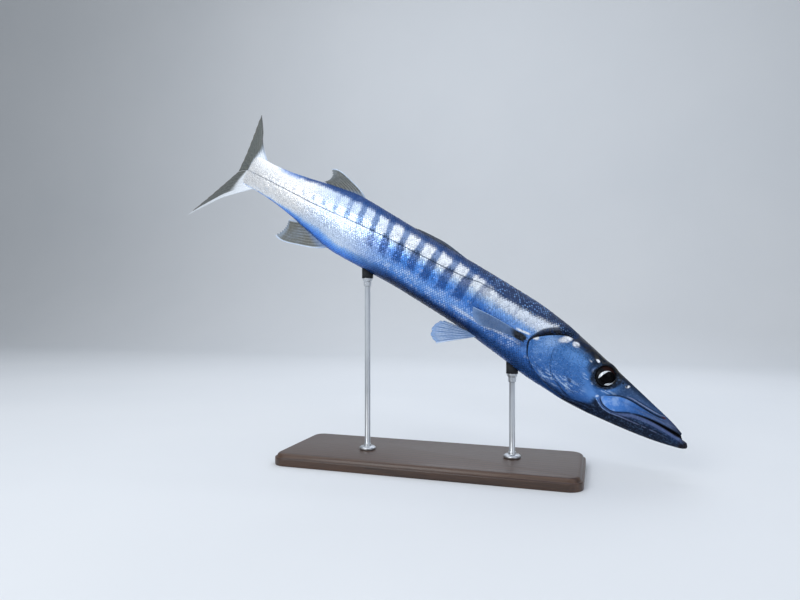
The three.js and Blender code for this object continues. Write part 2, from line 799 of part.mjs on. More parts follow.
// What meets the trunk stops the touching gap short of its faces.
const trunkClearance = bodyTube([...trunkStations, tailEnd + gapShare], trunkAround, touchGap);
const finClearance = solidFrom(trunkClearance);
const addFin = (name, geometry, material) =>
  addFishNode(name, solidFrom(geometry).subtract(finClearance), material);
for (const [name, form] of Object.entries(medianFins)) addFin(name, medianFin(form), materials.fin);
for (const [name, form] of Object.entries(tailFin.lobes)) addFin(name, tailLobe(form), materials.fin);
for (const [name, side] of sides) {
  const facing = (geometry) => (side > 0 ? geometry : mirrored(geometry));
  addFin(`pectoral_fin_${name}`, facing(pectoralSheet()), materials.paleFin);
  addFin(`pelvic_fin_${name}`, facing(pelvicSheet()), materials.paleFin);
}

// The stand: a flat base with rounded corners, and two rods with a foot flange and a shaped pad under the belly.
function roundedPlate() {
  const [x, y, r] = [stand.baseLength / 2, stand.baseWidth / 2, stand.baseCorner];
  const inset = stand.baseBevel;
  const plate = new THREE.Shape();
  plate.absarc(x - r, y - r, r - inset, 0, Math.PI / 2);
  plate.absarc(-x + r, y - r, r - inset, Math.PI / 2, Math.PI);
  plate.absarc(-x + r, -y + r, r - inset, Math.PI, 1.5 * Math.PI);
  plate.absarc(x - r, -y + r, r - inset, 1.5 * Math.PI, 2 * Math.PI);
  const slab = new THREE.ExtrudeGeometry(plate, {
    depth: stand.baseThick - 2 * inset,
    bevelThickness: inset,
    bevelSize: inset,
    bevelSegments: 1,
    curveSegments: 5,
  });
  return solidFrom(slab.translate(0, 0, inset));
}
let base = roundedPlate();
const fishClearance = solidFrom(posedGeometry(trunkClearance));
stand.rodStations.forEach((station, i) => {
  const belly = posed(skinPoint(station, Math.PI));
  const { baseThick, socketDepth, rodRadius, flangeRadius, flangeThick, padRadius, padHeight } = stand;
  const floor = baseThick + touchGap;
  const outline = [
    [0, baseThick - socketDepth],
    [rodRadius, baseThick - socketDepth],
    [rodRadius, floor],
    [flangeRadius, floor],
    [flangeRadius, floor + flangeThick - 1.5],
    [flangeRadius - 1.5, floor + flangeThick],
    [rodRadius, floor + flangeThick],
    [rodRadius, belly.z - padHeight - 5],
    [padRadius, belly.z - padHeight],
    [padRadius, belly.z + 14],
    [0, belly.z + 14],
  ];
  const rod = new THREE.LatheGeometry(
    outline.map(([r, z]) => new THREE.Vector2(r, z)),
    20,
  );
  rod.rotateX(Math.PI / 2);
  rod.translate(belly.x, belly.y, 0);
  const name = i === 0 ? "stand_rod_front" : "stand_rod_rear";
  addNode(name, geometryFrom(largest(solidFrom(rod).subtract(fishClearance))), materials.rod);
  const socket = new THREE.CylinderGeometry(rodRadius + touchGap, rodRadius + touchGap, socketDepth + 5, 20);
  socket.rotateX(Math.PI / 2);
  socket.translate(belly.x, belly.y, baseThick - socketDepth - touchGap + (socketDepth + 5) / 2);
  base = base.subtract(solidFrom(socket));
});
addNode("stand_base", geometryFrom(base), materials.base);

export default barracuda;
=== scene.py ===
import math

import bmesh
import bpy
import numpy as np
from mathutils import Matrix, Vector
from mathutils.bvhtree import BVHTree


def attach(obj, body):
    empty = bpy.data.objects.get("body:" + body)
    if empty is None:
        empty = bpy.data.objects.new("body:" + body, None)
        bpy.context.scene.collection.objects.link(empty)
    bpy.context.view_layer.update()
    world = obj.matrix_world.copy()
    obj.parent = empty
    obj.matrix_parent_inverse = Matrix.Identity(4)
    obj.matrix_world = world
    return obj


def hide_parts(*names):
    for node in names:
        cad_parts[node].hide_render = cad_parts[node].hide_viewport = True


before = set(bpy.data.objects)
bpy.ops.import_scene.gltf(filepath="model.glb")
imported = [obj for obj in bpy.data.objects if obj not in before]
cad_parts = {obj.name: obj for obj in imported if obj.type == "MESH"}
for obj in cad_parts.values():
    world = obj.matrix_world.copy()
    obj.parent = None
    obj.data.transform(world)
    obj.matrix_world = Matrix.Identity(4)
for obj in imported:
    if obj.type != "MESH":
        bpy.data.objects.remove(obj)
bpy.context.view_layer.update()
print("frame loaded:", len(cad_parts), "nodes")

fish = dict(
    length=0.82,                 # metres, upper jaw's tip to the root of the tail fin
    pitchDown=31.3, bank=-4.3,   # degrees
    swimBend=-11.7, swimCurve=-45.0, backArch=6.1,
    tailFlick=-21.0, tailTwist=7.5, tailDroop=4.5, flickFrom=0.965, flickTo=1.06,
    midHeight=0.288, midForward=0.022,
    spineStep=0.005, spineFrom=-0.05, spineTo=1.3,
)
mm = 0.001 / fish["length"]      # a millimetre as a share of the standard length

# station, back, belly, half width, level of the greatest width, squareness above and below
bodySections = [
    [-0.0195, -0.0085, -0.0128, 0.0022, -0.0107, 2.0, 2.0],
    [-0.015, -0.0042, -0.0165, 0.0052, -0.0108, 2.0, 2.0],
    [0.0, 0.0045, -0.023, 0.0086, -0.0105, 2.1, 2.1],
    [0.03, 0.0132, -0.0334, 0.0128, -0.0112, 2.5, 2.1],
    [0.075, 0.021, -0.0452, 0.0182, -0.0128, 2.8, 2.1],
    [0.12, 0.0285, -0.0545, 0.0235, -0.0125, 3.8, 2.1],
    [0.16, 0.0357, -0.0618, 0.028, -0.0095, 6.0, 2.1],
    [0.205, 0.0442, -0.0663, 0.033, -0.007, 4.0, 2.2],
    [0.265, 0.0547, -0.067, 0.0385, -0.003, 2.7, 2.2],
    [0.34, 0.0602, -0.062, 0.0408, 0.0, 2.2, 2.1],
    [0.45, 0.06, -0.0568, 0.0408, 0.002, 2.1, 2.1],
    [0.56, 0.0588, -0.0566, 0.0402, 0.002, 2.1, 2.1],
    [0.65, 0.0605, -0.0598, 0.0386, 0.001, 2.1, 2.1],
    [0.72, 0.0618, -0.0622, 0.0354, 0.0, 2.1, 2.1],
    [0.79, 0.0535, -0.053, 0.0288, 0.0, 2.1, 2.1],
    [0.85, 0.043, -0.0425, 0.0224, 0.0, 2.1, 2.1],
    [0.91, 0.0352, -0.0356, 0.0174, 0.0, 2.1, 2.1],
    [0.955, 0.033, -0.0333, 0.0138, 0.0, 2.1, 2.1],
    [0.985, 0.034, -0.034, 0.0088, 0.0, 2.1, 2.1],
    [1.008, 0.034, -0.034, 0.0036, 0.0, 2.1, 2.1],
]


def smooth(low, high, v):
    s = np.clip((v - low) / (high - low), 0, 1)
    return s * s * (3 - 2 * s)


def mix(a, b, share):
    return a + (b - a) * share


def throughRows(rows, column=1):  # a smooth curve through a table's rows that doesn't overshoot
    t = np.array([row[0] for row in rows], float)
    v = np.array([row[column] for row in rows], float)
    slope = np.diff(v) / np.diff(t)
    product = slope[:-1] * slope[1:]
    total = slope[:-1] + slope[1:]
    inner = np.where(product > 0, 2 * product / np.where(total == 0, 1, total), 0)
    tangent = np.concatenate([slope[:1], inner, slope[-1:]])

    def curve(at):
        at = np.asarray(at, float)
        i = np.clip(np.searchsorted(t, at, side="right") - 1, 0, len(t) - 2)
        h = t[i + 1] - t[i]
        s = np.clip((at - t[i]) / h, 0, 1)
        keep = (1 + 2 * s) * (1 - s) ** 2 * v[i] + s * s * (3 - 2 * s) * v[i + 1]
        return keep + s * (1 - s) ** 2 * h * tangent[i] + s * s * (s - 1) * h * tangent[i + 1]

    return curve


sectionCurves = [throughRows(bodySections, c) for c in range(1, 7)]


def sectionAt(t):  # what a row of bodySections holds, at any station
    return [curve(t) for curve in sectionCurves]


def halfWidthAt(t, level):  # 0 above the back and below the belly
    back, belly, half, widest, squareUp, squareDown = sectionAt(t)
    above = level > widest
    reach = (level - widest) / np.where(above, back - widest, belly - widest)
    square = np.where(above, squareUp, squareDown)
    return half * np.maximum(0, 1 - np.abs(reach) ** square) ** (1 / square)


def spineFrames():  # points along the bent spine, with the ways to the left and up
    count = round((fish["spineTo"] - fish["spineFrom"]) / fish["spineStep"])
    t = fish["spineFrom"] + np.arange(count + 1) * fish["spineStep"]
    u = t - 0.5
    flick = smooth(fish["flickFrom"], fish["flickTo"], t)
    bend = fish["swimBend"] * u + fish["swimCurve"] * (u * u - 1 / 12)
    turn = np.radians(bend + fish["tailFlick"] * flick)
    climb = np.radians(fish["backArch"] * u + fish["tailDroop"] * flick)
    twist = np.radians(fish["tailTwist"] * flick)[:, None]
    forward = np.stack([np.cos(turn) * np.cos(climb), np.sin(turn) * np.cos(climb), np.sin(climb)], 1)
    flatLeft = np.stack([-np.sin(turn), np.cos(turn), 0 * turn], 1)
    flatUp = np.cross(forward, flatLeft)
    up = flatUp * np.cos(twist) + flatLeft * np.sin(twist)
    left = flatLeft * np.cos(twist) - flatUp * np.sin(twist)
    middle = round((0.5 - fish["spineFrom"]) / fish["spineStep"])
    step = forward * fish["spineStep"] * fish["length"]
    point = np.zeros((count + 1, 3))
    point[middle + 1:] = -np.cumsum(step[middle + 1:], 0)
    point[:middle] = np.cumsum(step[:middle][::-1], 0)[::-1]
    return point, left, up


spine = spineFrames()
pitch, bank = math.radians(fish["pitchDown"]), math.radians(fish["bank"])
noseDown = np.array([
    [math.cos(pitch), 0, math.sin(pitch)], [0, 1, 0], [-math.sin(pitch), 0, math.cos(pitch)]])
leanOver = np.array([
    [1, 0, 0], [0, math.cos(bank), -math.sin(bank)], [0, math.sin(bank), math.cos(bank)]])
tilt = noseDown @ leanOver


def posed(shares):  # rows of station, side and level, as posed places in metres
    shares = np.asarray(shares, float)
    place = (shares[:, 0] - fish["spineFrom"]) / fish["spineStep"]
    i = np.clip(np.floor(place).astype(int), 0, len(spine[0]) - 2)
    share = (place - i)[:, None]
    centre, left, up = [a[i] * (1 - share) + a[i + 1] * share for a in spine]
    bent = centre + (left * shares[:, 1:2] + up * shares[:, 2:3]) * fish["length"]
    return bent @ tilt.T + np.array([fish["midForward"], 0, fish["midHeight"]])


# Camera, light and floor

view = dict(
    place=(0.2557, -0.9451, 0.2585), yaw=17.857, focal=27.9,
    floorSize=5.0, wallAt=2.6, wallHeight=3.4, sweep=0.9,
)


def makeCamera():
    data = bpy.data.cameras.new("camera")
    data.lens = view["focal"]
    data.sensor_width = 36
    camera = bpy.data.objects.new("camera", data)
    camera.location = view["place"]
    camera.rotation_euler = (math.pi / 2, 0, math.radians(view["yaw"]))
    bpy.context.scene.collection.objects.link(camera)
    bpy.context.scene.camera = camera


makeCamera()
print("camera set")


# Node helpers, the same for materials and for geometry

def plain(value):  # a hex colour as linear light, anything else as it is
    if not isinstance(value, str) or value[0] != "#":
        return value
    parts = [int(value[i:i + 2], 16) / 255 for i in (1, 3, 5)]
    return [*[p / 12.92 if p <= 0.04045 else ((p + 0.055) / 1.055) ** 2.4 for p in parts], 1]


class Wire:  # a socket whose sums become Math nodes
    def __init__(self, graph, socket):
        self.graph = graph
        self.socket = socket

    def maths(self, operation, *values):
        return self.graph.node("ShaderNodeMath", {"operation": operation}, dict(enumerate(values)))

    def __add__(self, other):
        return self.maths("ADD", self, other)

    def __radd__(self, other):
        return self.maths("ADD", other, self)

    def __sub__(self, other):
        return self.maths("SUBTRACT", self, other)

    def __rsub__(self, other):
        return self.maths("SUBTRACT", other, self)

    def __mul__(self, other):
        return self.maths("MULTIPLY", self, other)

    def __rmul__(self, other):
        return self.maths("MULTIPLY", other, self)

    def __truediv__(self, other):
        return self.maths("DIVIDE", self, other)

    def __pow__(self, other):
        return self.maths("POWER", self, other)

    def __abs__(self):
        return self.maths("ABSOLUTE", self)


class Graph:
    def __init__(self, tree):
        self.tree = tree

    def node(self, kind, settings=None, inputs=None, output=0):
        made = self.tree.nodes.new(kind)
        for key, value in (settings or {}).items():
            if key == "stops":
                ramp = made.color_ramp
                while len(ramp.elements) < len(value):
                    ramp.elements.new(0.5)
                for element, (place, _) in zip(ramp.elements, value):
                    element.position = place
                for element, (_, colour) in zip(ramp.elements, value):
                    element.color = plain(colour) if isinstance(colour, str) else [colour] * 3 + [1]
            else:
                setattr(made, key, value)
        for key, value in (inputs or {}).items():
            socket = made.inputs[key]
            if isinstance(value, Wire):
                self.tree.links.new(value.socket, socket)
            else:
                socket.default_value = plain(value)
        return Wire(self, made.outputs[output])

    def again(self, wire, output):  # another output of the node behind a wire
        return Wire(self, wire.socket.node.outputs[output])


class Finish(Graph):  # a material and its maths
    def __init__(self, name, **constants):
        self.material = bpy.data.materials.new(name)
        self.material.use_nodes = True
        super().__init__(self.material.node_tree)
        self.tree.nodes.clear()
        self.surface = self.tree.nodes.new("ShaderNodeBsdfPrincipled")
        self.out = self.tree.nodes.new("ShaderNodeOutputMaterial")
        self.tree.links.new(self.surface.outputs[0], self.out.inputs[0])
        for key, value in constants.items():
            self.surface.inputs[key].default_value = plain(value)

    def set(self, **sockets):
        for key, value in sockets.items():
            self.tree.links.new(value.socket, self.surface.inputs[key.replace("_", " ")])
        return self.material

    def blend(self, share, a, b):  # colours
        return self.node("ShaderNodeMix", {"data_type": "RGBA", "clamp_factor": True},
                         {0: share, 6: a, 7: b}, 2)

    def paint(self, colour, *coats):  # coats of a share and a tone, one over the other
        for share, tone in coats:
            colour = self.blend(share, colour, tone)
        return colour

    def step(self, low, high, value):  # 0 to 1, eased; low may be the greater
        return self.node("ShaderNodeMapRange", {"interpolation_type": "SMOOTHSTEP"},
                         {"Value": value, "From Min": low, "From Max": high})

    def profile(self, value, rows):  # a number that follows another through a table of a few rows
        low = min(v for _, v in rows)
        span = max(v for _, v in rows) - low
        stops = [(place, (v - low) / span) for place, v in rows]
        return self.node("ShaderNodeValToRGB", {"stops": stops}, {0: value}) * span + low

    def colours(self, value, rows):
        return self.node("ShaderNodeValToRGB", {"stops": rows}, {0: value})

    def attribute(self, name, output="Fac"):
        return self.node("ShaderNodeAttribute", {"attribute_name": name}, output=output)

    def parts(self, vector):
        x = self.node("ShaderNodeSeparateXYZ", inputs={0: vector})
        return x, self.again(x, 1), self.again(x, 2)

    def noise(self, vector, scale, detail=3.0, roughness=0.5):
        return self.node("ShaderNodeTexNoise", inputs={
            "Vector": vector, "Scale": scale, "Detail": detail, "Roughness": roughness})

    def cells(self, vector, scale, feature="F1"):
        return self.node("ShaderNodeTexVoronoi", {"feature": feature},
                         {"Vector": vector, "Scale": scale}, "Distance")

    def place(self):
        return self.node("ShaderNodeTexCoord", output="Object")

    def stretched(self, vector, scale):
        return self.node("ShaderNodeMapping", inputs={"Vector": vector, "Scale": scale})

    def bump(self, height, strength, distance, under=None):
        inputs = {"Height": height, "Strength": strength, "Distance": distance}
        if under:
            inputs["Normal"] = under
        return self.node("ShaderNodeBump", inputs=inputs)


class Growth(Graph):  # a geometry tree with named inputs
    def __init__(self, name, **inputs):
        super().__init__(bpy.data.node_groups.new(name, "GeometryNodeTree"))
        face = self.tree.interface
        face.new_socket("Geometry", in_out="INPUT", socket_type="NodeSocketGeometry")
        self.sockets = {}
        for key, value in inputs.items():
            kind = "NodeSocketObject" if hasattr(value, "data") else "NodeSocketMaterial"
            self.sockets[key] = face.new_socket(key, in_out="INPUT", socket_type=kind).identifier
        face.new_socket("Geometry", in_out="OUTPUT", socket_type="NodeSocketGeometry")
        self.values = inputs
        self.start = self.node("NodeGroupInput")

    def given(self, key):
        return self.again(self.start, 0 if key == "Geometry" else key)

    def named(self, name):  # a direction or a size of its own for each point
        return self.node("GeometryNodeInputNamedAttribute", {"data_type": "FLOAT_VECTOR"}, {"Name": name})

    def finish(self, geometry, material):
        real = self.node("GeometryNodeRealizeInstances", inputs={"Geometry": geometry})
        dressed = self.node("GeometryNodeSetMaterial", inputs={"Geometry": real, "Material": material})
        end = self.tree.nodes.new("NodeGroupOutput")
        self.tree.links.new(dressed.socket, end.inputs[0])

    def grow(self, source, name):  # the tree's result on a source object, as a plain mesh of its own
        modifier = source.modifiers.new(name, "NODES")
        modifier.node_group = self.tree
        for key, value in self.values.items():
            modifier[self.sockets[key]] = value
        source.update_tag()
        graph = bpy.context.evaluated_depsgraph_get()
        mesh = bpy.data.meshes.new_from_object(source.evaluated_get(graph), depsgraph=graph)
        source.modifiers.clear()
        mesh.name = name
        made = bpy.data.objects.new(name, mesh)
        bpy.context.scene.collection.objects.link(made)
        return made


def meshObject(name, points, faces, material=None, attributes=None):
    mesh = bpy.data.meshes.new(name)
    mesh.from_pydata(np.asarray(points, float).tolist(), [], [list(map(int, f)) for f in faces])
    for key, values in (attributes or {}).items():
        values = np.asarray(values, np.float32)
        kind = "FLOAT" if values.ndim == 1 else "FLOAT_VECTOR"
        layer = mesh.attributes.new(key, kind, "POINT")
        layer.data.foreach_set("value" if values.ndim == 1 else "vector", values.ravel())
    if material:
        mesh.materials.append(material)
    mesh.validate()
    mesh.shade_smooth()
    made = bpy.data.objects.new(name, mesh)
    bpy.context.scene.collection.objects.link(made)
    return made


def faceOut(piece, merge=1e-7):  # doubles merged, then all faces outwards
    work = bmesh.new()
    work.from_mesh(piece.data)
    bmesh.ops.remove_doubles(work, verts=work.verts, dist=merge)
    bmesh.ops.dissolve_degenerate(work, dist=merge, edges=work.edges)
    bmesh.ops.recalc_face_normals(work, faces=work.faces)
    work.to_mesh(piece.data)
    work.free()
    return piece


def lathed(profile, sides, start=None):  # a closed shape turned about z, from radii and heights
    start = profile[0][1] if start is None else start
    points, faces = [(0, 0, start)], []
    for r, z in profile:
        points += [(r * math.cos(a), r * math.sin(a), z) for a in np.arange(sides) / sides * 2 * math.pi]
    points.append((0, 0, profile[-1][1]))
    faces += [(0, 1 + (j + 1) % sides, 1 + j) for j in range(sides)]
    for s in range(1, (len(profile) - 1) * sides, sides):
        faces += [(s + j, s + (j + 1) % sides, s + sides + (j + 1) % sides, s + sides + j)
                  for j in range(sides)]
    s = 1 + (len(profile) - 1) * sides
    faces += [(s + j, s + (j + 1) % sides, len(points) - 1) for j in range(sides)]
    return np.array(points, float), faces


def ownPiece(piece, slot, *nodes):  # onto the one body, with the nodes it stands for; slot is not used
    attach(piece, "root")
    if nodes:
        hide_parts(*nodes)
    print("piece", piece.name, len(piece.data.polygons), "faces")
    return piece


# Head details: lines on the side of the head as (station, level), the same on both sides

mouth = dict(
    line=[(-0.035, -0.0012), (0.0, -0.0014), (0.03, -0.003), (0.055, -0.006), (0.084, -0.0132),
          (0.101, -0.0232), (0.117, -0.0306), (0.136, -0.0322), (0.147, -0.0375), (0.157, -0.07)],
    gape=4.6, gapeFrom=-0.005, gapeTo=0.088,    # the opening in millimetres and where it closes
    lip=0.6, lipWidth=1.5,
)
mouthLevel = throughRows(mouth["line"])


def gapeAt(t):
    closed = (t - mouth["gapeFrom"]) / (mouth["gapeTo"] - mouth["gapeFrom"])
    return mouth["gape"] * mm * (1 - np.clip(closed, 0, 1))


eye = dict(  # degrees, then millimetres about the eye's middle on the skin
    station=0.16, level=0.0135, tiltUp=8, tiltForward=10,
    wall=15.7, wallSnap=0.62,     # the socket's wall, and how near a point is drawn onto it
    ringRadius=17.3, ringSpread=1.2, ringHalf=1.9, ringTop=0.35, ringFall=0.42, reach=24.0, bowl=9.0,
)
creases = [  # line, half width and depth in millimetres, how dark its painted shade is
    dict(line=[(0.033, 0.0105), (0.045, 0.007), (0.062, 0.0047), (0.084, 0.0038), (0.1, 0.003),
               (0.1105, 0.0014), (0.12, -0.0014), (0.129, -0.006), (0.138, -0.0115), (0.1475, -0.019)],
         width=0.8, depth=1.5, dark=1.0),
    dict(line=[(0.036, 0.0135), (0.052, 0.0108), (0.075, 0.0096), (0.1, 0.0082)],
         width=0.6, depth=0.6, dark=0.45),
    dict(line=[(0.1475, -0.019), (0.1452, -0.0248), (0.1378, -0.03), (0.1265, -0.0322), (0.1165, -0.0313),
               (0.1085, -0.0275), (0.1, -0.0217), (0.092, -0.0168), (0.085, -0.0138)],
         width=0.8, depth=1.3, dark=0.9),
    dict(line=[(0.15, -0.0295), (0.133, -0.0345), (0.1185, -0.0345), (0.1, -0.03), (0.08, -0.0262),
               (0.055, -0.0212), (0.03, -0.0165), (0.008, -0.0145)], width=1.1, depth=0.7, dark=0.5),
    dict(line=[(0.257, 0.016), (0.2595, 0.003), (0.2555, -0.0115), (0.2495, -0.0245), (0.2405, -0.0345),
               (0.226, -0.0425), (0.205, -0.0515), (0.185, -0.0555)], width=1.3, depth=0.9, dark=0.5),
    dict(line=[(0.293, -0.0285), (0.27, -0.036), (0.243, -0.0405)], width=1.0, depth=0.45, dark=0.25),
    dict(line=[(0.136, -0.0432), (0.168, -0.0512), (0.2, -0.0592), (0.235, -0.0618)],
         width=1.0, depth=0.8, dark=0.5),
    dict(line=[(0.128, -0.0465), (0.16, -0.0545), (0.19, -0.061), (0.22, -0.0643)],
         width=0.8, depth=0.6, dark=0.4),
    dict(line=[(0.205, 0.0335), (0.224, 0.0315), (0.2385, 0.0325)], width=1.1, depth=0.7, dark=0.4),
    dict(line=[(0.1895, 0.0245), (0.1875, 0.006), (0.1765, -0.0095), (0.158, -0.0165), (0.139, -0.0138),
               (0.1225, -0.0035)], width=1.9, depth=0.6, dark=0.2),
    dict(line=[(0.026, 0.0055), (0.052, 0.0022), (0.078, -0.0022), (0.1, -0.0052), (0.121, -0.0095)],
         width=0.9, depth=0.35, dark=0.22),
]
snoutTop = dict(furrow=0.7, furrowWidth=2.6, ridge=0.45, ridgeAt=6.2, ridgeWidth=2.2)   # millimetres
gillEdge = dict(  # the rear edge of the gill cover, from the nape down to the throat
    line=[(0.2385, 0.0395), (0.256, 0.036), (0.2765, 0.0235), (0.294, 0.009), (0.3035, -0.004),
          (0.3015, -0.016), (0.292, -0.0315), (0.2745, -0.0445), (0.252, -0.0535), (0.225, -0.0588),
          (0.2, -0.0605)],
    rise=1.3, reach=9.0, drop=1.9, dropReach=3.2,   # millimetres, before and behind the edge
    shade=[(0.0, 13.0), (0.085, 14.0), (0.2, 13.0), (0.26, 11.5), (0.31, 8.0), (0.36, 4.5), (0.41, 2.6),
           (0.46, 1.8), (0.7, 1.1), (1.0, 0.8)],    # how wide the painted shade of the slit behind it is
)
nostrils = [(0.1205, 0.0192, 1.7), (0.1285, 0.0205, 1.3)]   # station, level, radius in millimetres
swells = [  # soft rises: place, reach along and upwards, height in millimetres
    dict(at=(0.212, -0.008), long=0.028, high=0.018, rise=0.9),
    dict(at=(0.163, 0.0335), long=0.02, high=0.004, rise=0.6),
    dict(at=(0.15, -0.0135), long=0.022, high=0.005, rise=0.45),
    dict(at=(0.132, -0.019), long=0.015, high=0.008, rise=0.7),
    dict(at=(0.158, -0.0345), long=0.012, high=0.008, rise=0.5),
    dict(at=(0.276, -0.004), long=0.02, high=0.03, rise=0.5),
]
pectoralPit = dict(station=0.3215, level=-0.0085, long=0.0125, high=0.0068, lean=-6.0, depth=1.6)


def catmull(points, step=0.6 * mm):  # a rounded line through a few points, at even steps
    p = np.array(points, float)
    p = np.vstack([2 * p[0] - p[1], p, 2 * p[-1] - p[-2]])
    pieces = []
    for a, b, c, d in zip(p, p[1:], p[2:], p[3:]):
        s = np.linspace(0, 1, max(2, int(np.linalg.norm(c - b) / step)), endpoint=False)[:, None]
        pieces.append(0.5 * (2 * b + (c - a) * s + (2 * a - 5 * b + 4 * c - d) * s ** 2
                             + (3 * b - a - 3 * c + d) * s ** 3))
    return np.vstack([*pieces, p[-2:-1]])


def fromLine(t, z, line):  # distance in millimetres, which side (+ is ahead and below), share along
    spots = catmull(line)
    best = np.full(t.shape, 1e9)
    side = np.zeros(t.shape)
    along = np.zeros(t.shape)
    for k in range(len(spots) - 1):
        a, b = spots[k], spots[k + 1]
        way = b - a
        size = way @ way
        share = np.clip(((t - a[0]) * way[0] + (z - a[1]) * way[1]) / size, 0, 1)
        dt, dz = t - a[0] - share * way[0], z - a[1] - share * way[1]
        gap = dt * dt + dz * dz
        near = gap < best
        best = np.where(near, gap, best)
        side = np.where(near, np.sign(way[0] * (z - a[1]) - way[1] * (t - a[0])), side)
        along = np.where(near, (k + share) / (len(spots) - 1), along)
    return np.sqrt(best) / mm, side, along


def pitGap(t, z):  # 1 on the rim of the hollow behind the pectoral fin's root
    lean = math.radians(pectoralPit["lean"])
    a = (t - pectoralPit["station"]) * math.cos(lean) + (z - pectoralPit["level"]) * math.sin(lean)
    b = (z - pectoralPit["level"]) * math.cos(lean) - (t - pectoralPit["station"]) * math.sin(lean)
    return np.hypot(a / pectoralPit["long"], b / pectoralPit["high"])


def headRelief(t, y, z):  # how far the skin stands out, in millimetres, and how dark its painted shade is in the creases, the mouth's slit, behind the gill edge and in the nostrils
    out = np.zeros(t.shape)
    dark = np.zeros(t.shape)
    opening = np.abs(z - mouthLevel(t)) / mm - gapeAt(t) / mm / 2 - mouth["lipWidth"]
    front = 1 - smooth(mouth["gapeTo"] - 0.01, mouth["gapeTo"] + 0.01, t)
    out += mouth["lip"] * np.exp(-(opening / mouth["lipWidth"]) ** 2) * front
    dark = 0.85 * front * (1 - smooth(-0.9, 0.4, opening)) * smooth(-0.004, 0.01, t)
    for form in swells:
        a, b = (t - form["at"][0]) / form["long"], (z - form["at"][1]) / form["high"]
        out += form["rise"] * np.exp(-(a * a + b * b))
    furrow = np.exp(-(y / mm / snoutTop["furrowWidth"]) ** 2) * (z > 0)
    furrow = furrow * smooth(0.015, 0.05, t) * (1 - smooth(0.15, 0.2, t))
    ridge = np.exp(-((np.abs(y) / mm - snoutTop["ridgeAt"]) / snoutTop["ridgeWidth"]) ** 2) * (z > 0)
    ridge = ridge * smooth(0.03, 0.08, t) * (1 - smooth(0.2, 0.26, t))
    out += snoutTop["ridge"] * ridge - snoutTop["furrow"] * furrow
    for crease in creases:
        gap, _, along = fromLine(t, z, crease["line"])
        ends = smooth(0, 0.12, along) * (1 - smooth(0.88, 1, along))
        out -= crease["depth"] * np.exp(-(gap / crease["width"]) ** 2) * ends
        out += 0.3 * crease["depth"] * np.exp(-((gap - 2.2 * crease["width"]) / crease["width"]) ** 2) * ends
        dark = np.maximum(dark, crease["dark"] * np.exp(-(gap / crease["width"] / 1.25) ** 2) * ends)
    gap, side, along = fromLine(t, z, gillEdge["line"])
    ends = smooth(0, 0.08, along) * (1 - smooth(0.86, 1, along))
    behind = side > 0
    lifted = gillEdge["rise"] * np.exp(-gap / gillEdge["reach"]) * smooth(-0.2, 1.2, gap)
    sunk = -gillEdge["drop"] * np.exp(-(gap / gillEdge["dropReach"]) ** 2)
    out += np.where(behind, sunk, lifted) * ends
    wide = mix(4.4, 1.5, smooth(0.25, 0.48, along))
    shade = np.where(behind, np.exp(-(gap / wide) ** 2), np.exp(-(gap / 0.45) ** 2))
    dark = np.maximum(dark, shade * ends * mix(0.98, 0.25, smooth(0.4, 0.58, along)))
    for station, level, radius in nostrils:
        gap = np.hypot(t - station, z - level) / mm
        out -= 2.2 * np.exp(-(gap / radius) ** 2) - 0.35 * np.exp(-((gap - 2 * radius) / 0.8) ** 2)
        dark = np.maximum(dark, np.exp(-(gap / radius) ** 4))
    pit = pitGap(t, z)
    out -= pectoralPit["depth"] * (1 - smooth(0.4, 1.1, pit))
    out += 0.5 * np.exp(-((pit - 1.35) / 0.2) ** 2) * (z > pectoralPit["level"])
    return out, dark


def eyeFrame(side):  # the middle of the eye on the skin, its way out and two ways across, in shares
    up, ahead = math.radians(eye["tiltUp"]), math.radians(eye["tiltForward"])
    out = np.array([-math.sin(ahead) * math.cos(up), side * math.cos(ahead) * math.cos(up), math.sin(up)])
    along = np.array([1.0, 0, 0])
    along -= out * (along @ out)
    along /= np.linalg.norm(along)
    rise = np.cross(out, along)
    rise *= np.sign(rise[2])
    skin = float(halfWidthAt(np.array(eye["station"]), np.array(eye["level"])))
    return np.array([eye["station"], side * skin, eye["level"]]), out, along, rise


def setOrbits(points):  # the socket and its fleshy rim, pressed into the skin's points, and the painted shade in the socket and its crease
    dark = np.zeros(len(points))
    for side in (1, -1):
        centre, out, along, rise = eyeFrame(side)
        gap = (points - centre) / mm
        height = gap @ out
        a, b = gap @ along, gap @ rise
        away = np.hypot(a, b)
        near = (points[:, 1] * side > 0) & (away < eye["reach"]) & (height > -16)
        onWall = near & (np.abs(away - eye["wall"]) < eye["wallSnap"])
        pull = np.where(onWall, eye["wall"] / np.maximum(away, 1e-6) - 1, 0)
        points = points + along * (a * pull * mm)[:, None] + rise * (b * pull * mm)[:, None]
        away = np.where(onWall, eye["wall"], away)
        ring = eye["ringTop"] - eye["ringFall"] * ((away - eye["ringRadius"]) / eye["ringHalf"]) ** 2
        inner = away < eye["wall"] - eye["wallSnap"] / 2
        ringEnd = eye["ringRadius"] + eye["ringSpread"]
        hold = 1 - smooth(ringEnd, eye["reach"], away)
        rim = np.where(away < ringEnd, ring, np.maximum(height, ring))
        target = np.where(inner, -eye["bowl"], rim)
        moved = mix(height, target, hold)
        points = points + out * (np.where(near, moved - height, 0) * mm)[:, None]
        edge = np.exp(-((away - eye["wall"]) / 1.3) ** 2)
        dark = np.maximum(dark, np.where(near, np.where(inner, 1.0, edge), 0))
    return points, dark


# Skin: one closed mesh from the jaws to the tail fin's root

